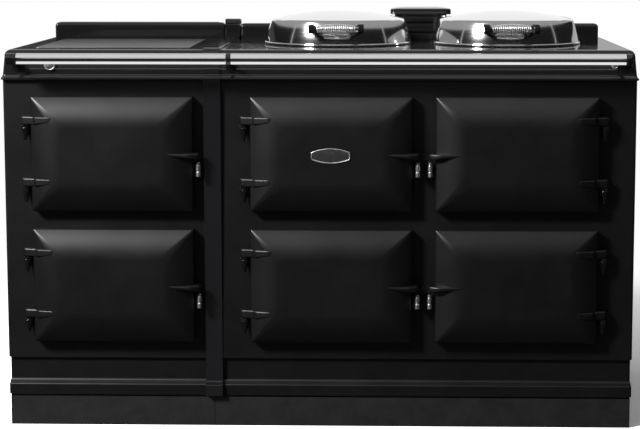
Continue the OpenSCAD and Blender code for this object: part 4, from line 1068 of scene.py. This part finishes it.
def bracket(x0, x1):
    """A turned body beside the tube, a tapering arm, and a flange on the plate's edge."""
    middle, r = (x0 + x1) / 2, RAIL_R
    body = turned([(0, x0), (r - 2.2, x0), (r - 0.7, x0 + 0.7), (r, x0 + 2.2), (r, x1 - 2.2),
                   (r - 0.7, x1 - 0.7), (r - 2.2, x1), (0, x1)], (0, RAIL_Y, RAIL_Z), "x", 64)
    reach = FLANGE_Y + 8 - RAIL_Y
    share = np.linspace(0, 1, 9)
    radius = min(7, (x1 - x0) / 2 - 0.5) * (1 - 0.18 * np.sin(np.pi * share))
    angle = np.linspace(0, 2 * np.pi, 24, endpoint=False)
    ring = np.column_stack([np.cos(angle), np.zeros(24), np.sin(angle)])
    spine = np.column_stack([np.full(9, middle), RAIL_Y + reach * share,
                             RAIL_Z - (FLANGE_FALL + 2) * share**1.2])
    arm_tube = spine[:, None] + radius[:, None, None] * ring
    flange = turned(joined((0, FLANGE_Y), (9, FLANGE_Y), arc((10.5, FLANGE_Y + 2.5), 2.5, 270, 360, 4),
                           (13, FLANGE_Y + 11), (0, FLANGE_Y + 11)),
                    (middle, 0, RAIL_Z - FLANGE_FALL), "y", 48)
    return [body, arm_tube, flange]


BRACKET_SPANS = [(BRACKET_START, RAIL_LOW[0]), (RAIL_SPANS[0][1], RAIL_SPANS[1][0]),
                 (RAIL_HIGH[0], RAIL_HIGH[0] + 13)]
dress("rail_brackets_cast", [grid for span in BRACKET_SPANS for grid in bracket(*span)],
      ["handrail_brackets"])


# %% Studs
def stud(x, z, radius):
    """A domed head with a groove near its edge: the dome falls by 3.4 (r / radius)^2."""
    front = LIP_Y - 3
    r = np.linspace(0, radius - 3.2, 9)
    profile = joined(np.column_stack([r, front + 3.4 * (r / radius) ** 2]), (radius - 2.9, front + 3.2),
                     (radius - 2.5, front + 3.0), arc((radius - 1.3, front + 3.4), 1.3, 255, 360, 6),
                     (radius, front + 14), (0, front + 14))
    return turned(profile, (x, 0, z), "y", 48)


LARGE_STUD_R, SMALL_STUD_R = 13.5, 8
STUD_Z = node_box("rail_studs")[0][2] + LARGE_STUD_R
dress("stud_heads", [stud(RAIL_LOW[0] + 63, STUD_Z, LARGE_STUD_R),
                     stud(RAIL_HIGH[0] - 17.5, STUD_Z, SMALL_STUD_R)],
      ["rail_studs"], finish=PULL_CHROME)

# %% [markdown]
# The vent cowl is a black box of stacked rings under a crowned cap. Steam leaves by the
# dark slots between the rings, so the core behind them stays a separate shape.

# %% Vent cowl
COWL_LOW, COWL_HIGH = node_box("vent_cowl")
COWL_H = COWL_HIGH[2] - TOP_Z


def cowl_part(section, corner):
    """Rounded boxes drawn in from the cowl's outline by each inset, at each height."""
    return block(COWL_LOW, COWL_HIGH, section + (0, TOP_Z), corner, 2)


def cowl_ring(low, high, inset):
    """One ring of the cowl, with round edges of 1.6 mm."""
    return cowl_part(joined(arc((inset + 1.6, low + 1.6), 1.6, 270, 180, 4),
                            arc((inset + 1.6, high - 1.6), 1.6, 180, 90, 4)), 11)


CAP_Z = COWL_H * 0.78
cap = cowl_part(joined((1.5, CAP_Z), (0, CAP_Z + 1.5), arc((4, COWL_H - 8), 4, 180, 105, 5),
                       bezier((4.5, COWL_H - 3.6), (22, COWL_H - 0.6), (44, COWL_H), 8)), 12)
core = cowl_part(joined((11, 0), (11, CAP_Z + 2)), 8)
rings = [cowl_ring(0, COWL_H * 0.19, 2), cowl_ring(COWL_H * 0.25, COWL_H * 0.46, 3),
         cowl_ring(COWL_H * 0.55, COWL_H * 0.7, 5)]
dress("vent_cowl_cast", [cap, core, *rings], ["vent_cowl"])

# %% [markdown]
# Behind the upper left door two knobs turn the heat up and down. Each is a fluted cap
# with a raised pointer, moulded in black. A round cap from a modifier would have no
# flutes, so the turned cap's radius is made to swell and shrink as it goes round.

# %% Knobs
KNOB_H, KNOB_R, FLUTES = 22, 20, 24


def knob():
    """The turned cap, its grip's radius grown by 3% of cos 24a, and the pointer on it."""
    profile = joined((0, 0), (KNOB_R, 0), (KNOB_R, 4.5), (KNOB_R - 1, 5.5), (KNOB_R - 4, 7),
                     (KNOB_R - 4.3, KNOB_H - 4), arc((KNOB_R - 7.3, KNOB_H - 3), 3, 0, 90, 5), (0, KNOB_H))
    cap = turned(profile, (0, 0, 0), "z", 120)
    angle = np.linspace(0, 2 * np.pi, 120, endpoint=False)
    fluted = ((profile[:, 1] > 6.5) & (profile[:, 1] < KNOB_H - 1)).astype(float)[:, None]
    cap[:, :, :2] *= (1 + 0.03 * np.cos(FLUTES * angle) * fluted)[:, :, None]
    pointer = filleted([(-2.6, -2, 1), (2.6, -2, 1), (1.8, 15.5, 1), (-1.8, 15.5, 1)])
    return cap, slab(pointer, 0, 2.6, 0.8) + (0, 0, KNOB_H - 0.6)


for side in ("left", "right"):
    low, high = node_box("knob_" + side)
    foot = ((low[0] + high[0]) / 2, low[1] + 2 + KNOB_H, (low[2] + high[2]) / 2)
    dress("knob_" + side + "_moulded", [grid[:, :, [0, 2, 1]] * (1, -1, 1) + foot for grid in knob()],
          ["knob_" + side])

# %% [markdown]
# ## Stage, light and background
#
# The floor is plain and pale and keeps the object's shadow. The background is the world:
# white to the camera and in reflections, and softer where it lights things. A photograph
# of the sky could light it all, but then the black enamel would show a place that isn't
# here.


# %% Floor
def stage_sheet(name, rows, material):
    """A sheet between two rows of points, that isn't part of the object."""
    points = np.array(rows, float)
    index = np.arange(points.shape[1] - 1)
    faces = np.column_stack([index, index + 1, index + 1 + points.shape[1], index + points.shape[1]])
    mesh = bpy.data.meshes.new(name)
    mesh.from_pydata((points.reshape(-1, 3) * MM).tolist(), [], faces.tolist())
    mesh.materials.append(material)
    sheet = bpy.data.objects.new(name, mesh)
    bpy.context.scene.collection.objects.link(sheet)
    return sheet


# The camera sees the floor paler than it lights, and white far off; gloss sees it dark.
FLOOR, FLOOR_SEEN, FLOOR_MIRRORED, FADE_M = 30000, 1.9, 0.03, (0.9, 2.6)


def grey(value):
    """A neutral colour for a socket."""
    return value, value, value, 1


floor_finish = Finish("floor", (0.80, 0.80, 0.80), 0.9, Specular_IOR_Level=0.1)
path = floor_finish.add("ShaderNodeLightPath").outputs
near = floor_finish.add("ShaderNodeBsdfDiffuse", {"Color": grey(FLOOR_SEEN)}).outputs[0]
far = floor_finish.add("ShaderNodeEmission", {"Color": grey(1)}).outputs[0]
mirrored = floor_finish.add("ShaderNodeEmission", {"Color": grey(FLOOR_MIRRORED)}).outputs[0]
away = floor_finish.add("ShaderNodeVectorMath", {0: floor_finish.place}, operation="LENGTH")
surface = floor_finish.shader.outputs[0]
distant = floor_finish.spread(away.outputs["Value"], 0, 1, *FADE_M)
seen = floor_finish.add("ShaderNodeMixShader", {0: distant, 1: near, 2: far})
for ray, shader in (("Is Camera Ray", seen.outputs[0]), ("Is Glossy Ray", mirrored)):
    surface = floor_finish.add("ShaderNodeMixShader", {0: path[ray], 1: surface, 2: shader}).outputs[0]
floor_finish.tree.links.new(surface, floor_finish.tree.nodes["Material Output"].inputs["Surface"])
stage_sheet("floor", [[(-FLOOR, -FLOOR, 0), (FLOOR, -FLOOR, 0)], [(-FLOOR, FLOOR, 0), (FLOOR, FLOOR, 0)]],
            floor_finish.material)
print("floor of", 2 * FLOOR * MM, "m")

# %% World
AMBIENT = 0.2
world = bpy.data.worlds.new("studio")
bpy.context.scene.world = world
world.use_nodes = True
tree = world.node_tree
path = tree.nodes.new("ShaderNodeLightPath").outputs
seen = path["Is Camera Ray"]
for ray in ("Is Glossy Ray", "Is Transmission Ray"):
    either = tree.nodes.new("ShaderNodeMath")
    either.operation = "MAXIMUM"
    tree.links.new(seen, either.inputs[0])
    tree.links.new(path[ray], either.inputs[1])
    seen = either.outputs[0]
strength = tree.nodes.new("ShaderNodeMapRange")
strength.inputs["To Min"].default_value = AMBIENT
strength.inputs["To Max"].default_value = 1
tree.links.new(seen, strength.inputs["Value"])
back = tree.nodes["Background"].inputs
back["Color"].default_value = grey(1)
tree.links.new(strength.outputs["Result"], back["Strength"])
print("world: 1 where it is seen,", AMBIENT, "where it lights")

# %% [markdown]
# The key is one soft square lamp up to the left in front, as the shadows beside the
# doors show. More lamps would fill the doors' far slopes, which the photo leaves black.

# %% Key lamp
KEY_PLACE, KEY_AIM = np.array([-3175, -2965, 3396]), np.array([0, -300, 600])
KEY_SIDE, KEY_WATTS = 950, 400

key = bpy.data.lights.new("key", "AREA")
key.size = KEY_SIDE * MM
key.energy = KEY_WATTS
lamp = bpy.data.objects.new("key", key)
bpy.context.scene.collection.objects.link(lamp)
way = (KEY_AIM - KEY_PLACE) / np.linalg.norm(KEY_AIM - KEY_PLACE)
lamp.location = KEY_PLACE * MM
lamp.rotation_euler = (math.acos(-way[2]), 0, math.atan2(-way[0], way[1]))
print("key lamp", round(float(np.linalg.norm(KEY_AIM - KEY_PLACE)) * MM, 1), "m away")

# %% [markdown]
# Chrome and gloss black show little but what stands round them, so a studio shapes them
# with cards. These cards are seen by reflections alone. A dark wall rings the front and
# sides. A lid's side leans back, so at angle a round the lid it mirrors upwards by
# arcsin(0.53 cos(a / 2)), and the dark wall reaches just that high: the lid's dark band
# is then even all round. Grey stands behind and above the wall. Two streaks give the lids
# thin upright lights. Low behind the cooker stand a dark card, which darkens the warming
# plate, and a grey one for the far right of the top. Cards in front of, above and below
# the rail give it white bands with a dark line between them.


# %% Cards for reflections
def card(name, rows, glow):
    """A sheet of one plain radiance that only reflections see."""
    card_finish = Finish(name, grey(glow)[:3], 1.0)
    emission = card_finish.add("ShaderNodeEmission", {"Color": grey(glow)})
    card_finish.tree.links.new(emission.outputs[0],
                               card_finish.tree.nodes["Material Output"].inputs["Surface"])
    sheet = stage_sheet(name, rows, card_finish.material)
    for ray in ("camera", "diffuse", "shadow", "transmission"):
        setattr(sheet, "visible_" + ray, False)
    print("card", name, "glow", glow)


def standing(x0, y0, x1, y1, low, high):
    """The rows of an upright sheet over the line from (x0, y0) to (x1, y1)."""
    return [[(x0, y0, low), (x1, y1, low)], [(x0, y0, high), (x1, y1, high)]]


def lying(x0, y0, x1, y1, z):
    """The rows of a level sheet."""
    return [[(x0, y0, z), (x1, y0, z)], [(x0, y1, z), (x1, y1, z)]]


ROUND = np.radians(np.linspace(-150, 150, 121))


def ring_wall(radius, high):
    """The rows of a wall round the front and sides, open behind, from the floor to high."""
    x, y = radius * np.sin(ROUND), -radius * np.cos(ROUND)
    return [np.column_stack([x, y, np.full_like(x, 10)]), np.column_stack([x, y, high + 0 * x])]


WALL_R, CEILING_Z = 6500, 5000
BLACK_GLOW, GREY_GLOW, STREAK_GLOW = 0.012, 0.35, 0.5
LIDS_Z, LID_LEAN = 930, 0.53
dark_top = LIDS_Z + WALL_R * np.tan(np.arcsin(LID_LEAN * np.cos(ROUND / 2)))
card("dark_wall", ring_wall(WALL_R, dark_top), BLACK_GLOW)
card("grey_wall", ring_wall(WALL_R + 100, CEILING_Z), GREY_GLOW)
card("grey_ceiling", lying(-WALL_R, -WALL_R, WALL_R, 4500, CEILING_Z), GREY_GLOW)
card("streak_left", standing(-6000, -1320, -6000, -1080, 10, 3900), STREAK_GLOW)
card("streak_right", standing(6000, -850, 6000, -650, 10, 3900), STREAK_GLOW)
card("behind_left", standing(-1300, 420, -300, 420, 880, 1040), 0.05)
card("behind_right", standing(640, 420, 1300, 420, 880, 1000), 0.45)
ENDS = (-790, 770)
card("rail_front", standing(ENDS[0], -900, ENDS[1], -900, 1000, 1075), 0.85)
card("rail_above", [[(x, -530, 955) for x in ENDS], [(x, -355, 945) for x in ENDS]], 0.75)
card("rail_below", lying(-690, -395, 702, -375, 862), 1.0)

# %% [markdown]
# ## Last words
#
# The view transform stays plain, so colours come out as written.

# %% View transform and the end
bpy.context.scene.view_settings.view_transform = "Standard"
bpy.context.view_layer.update()
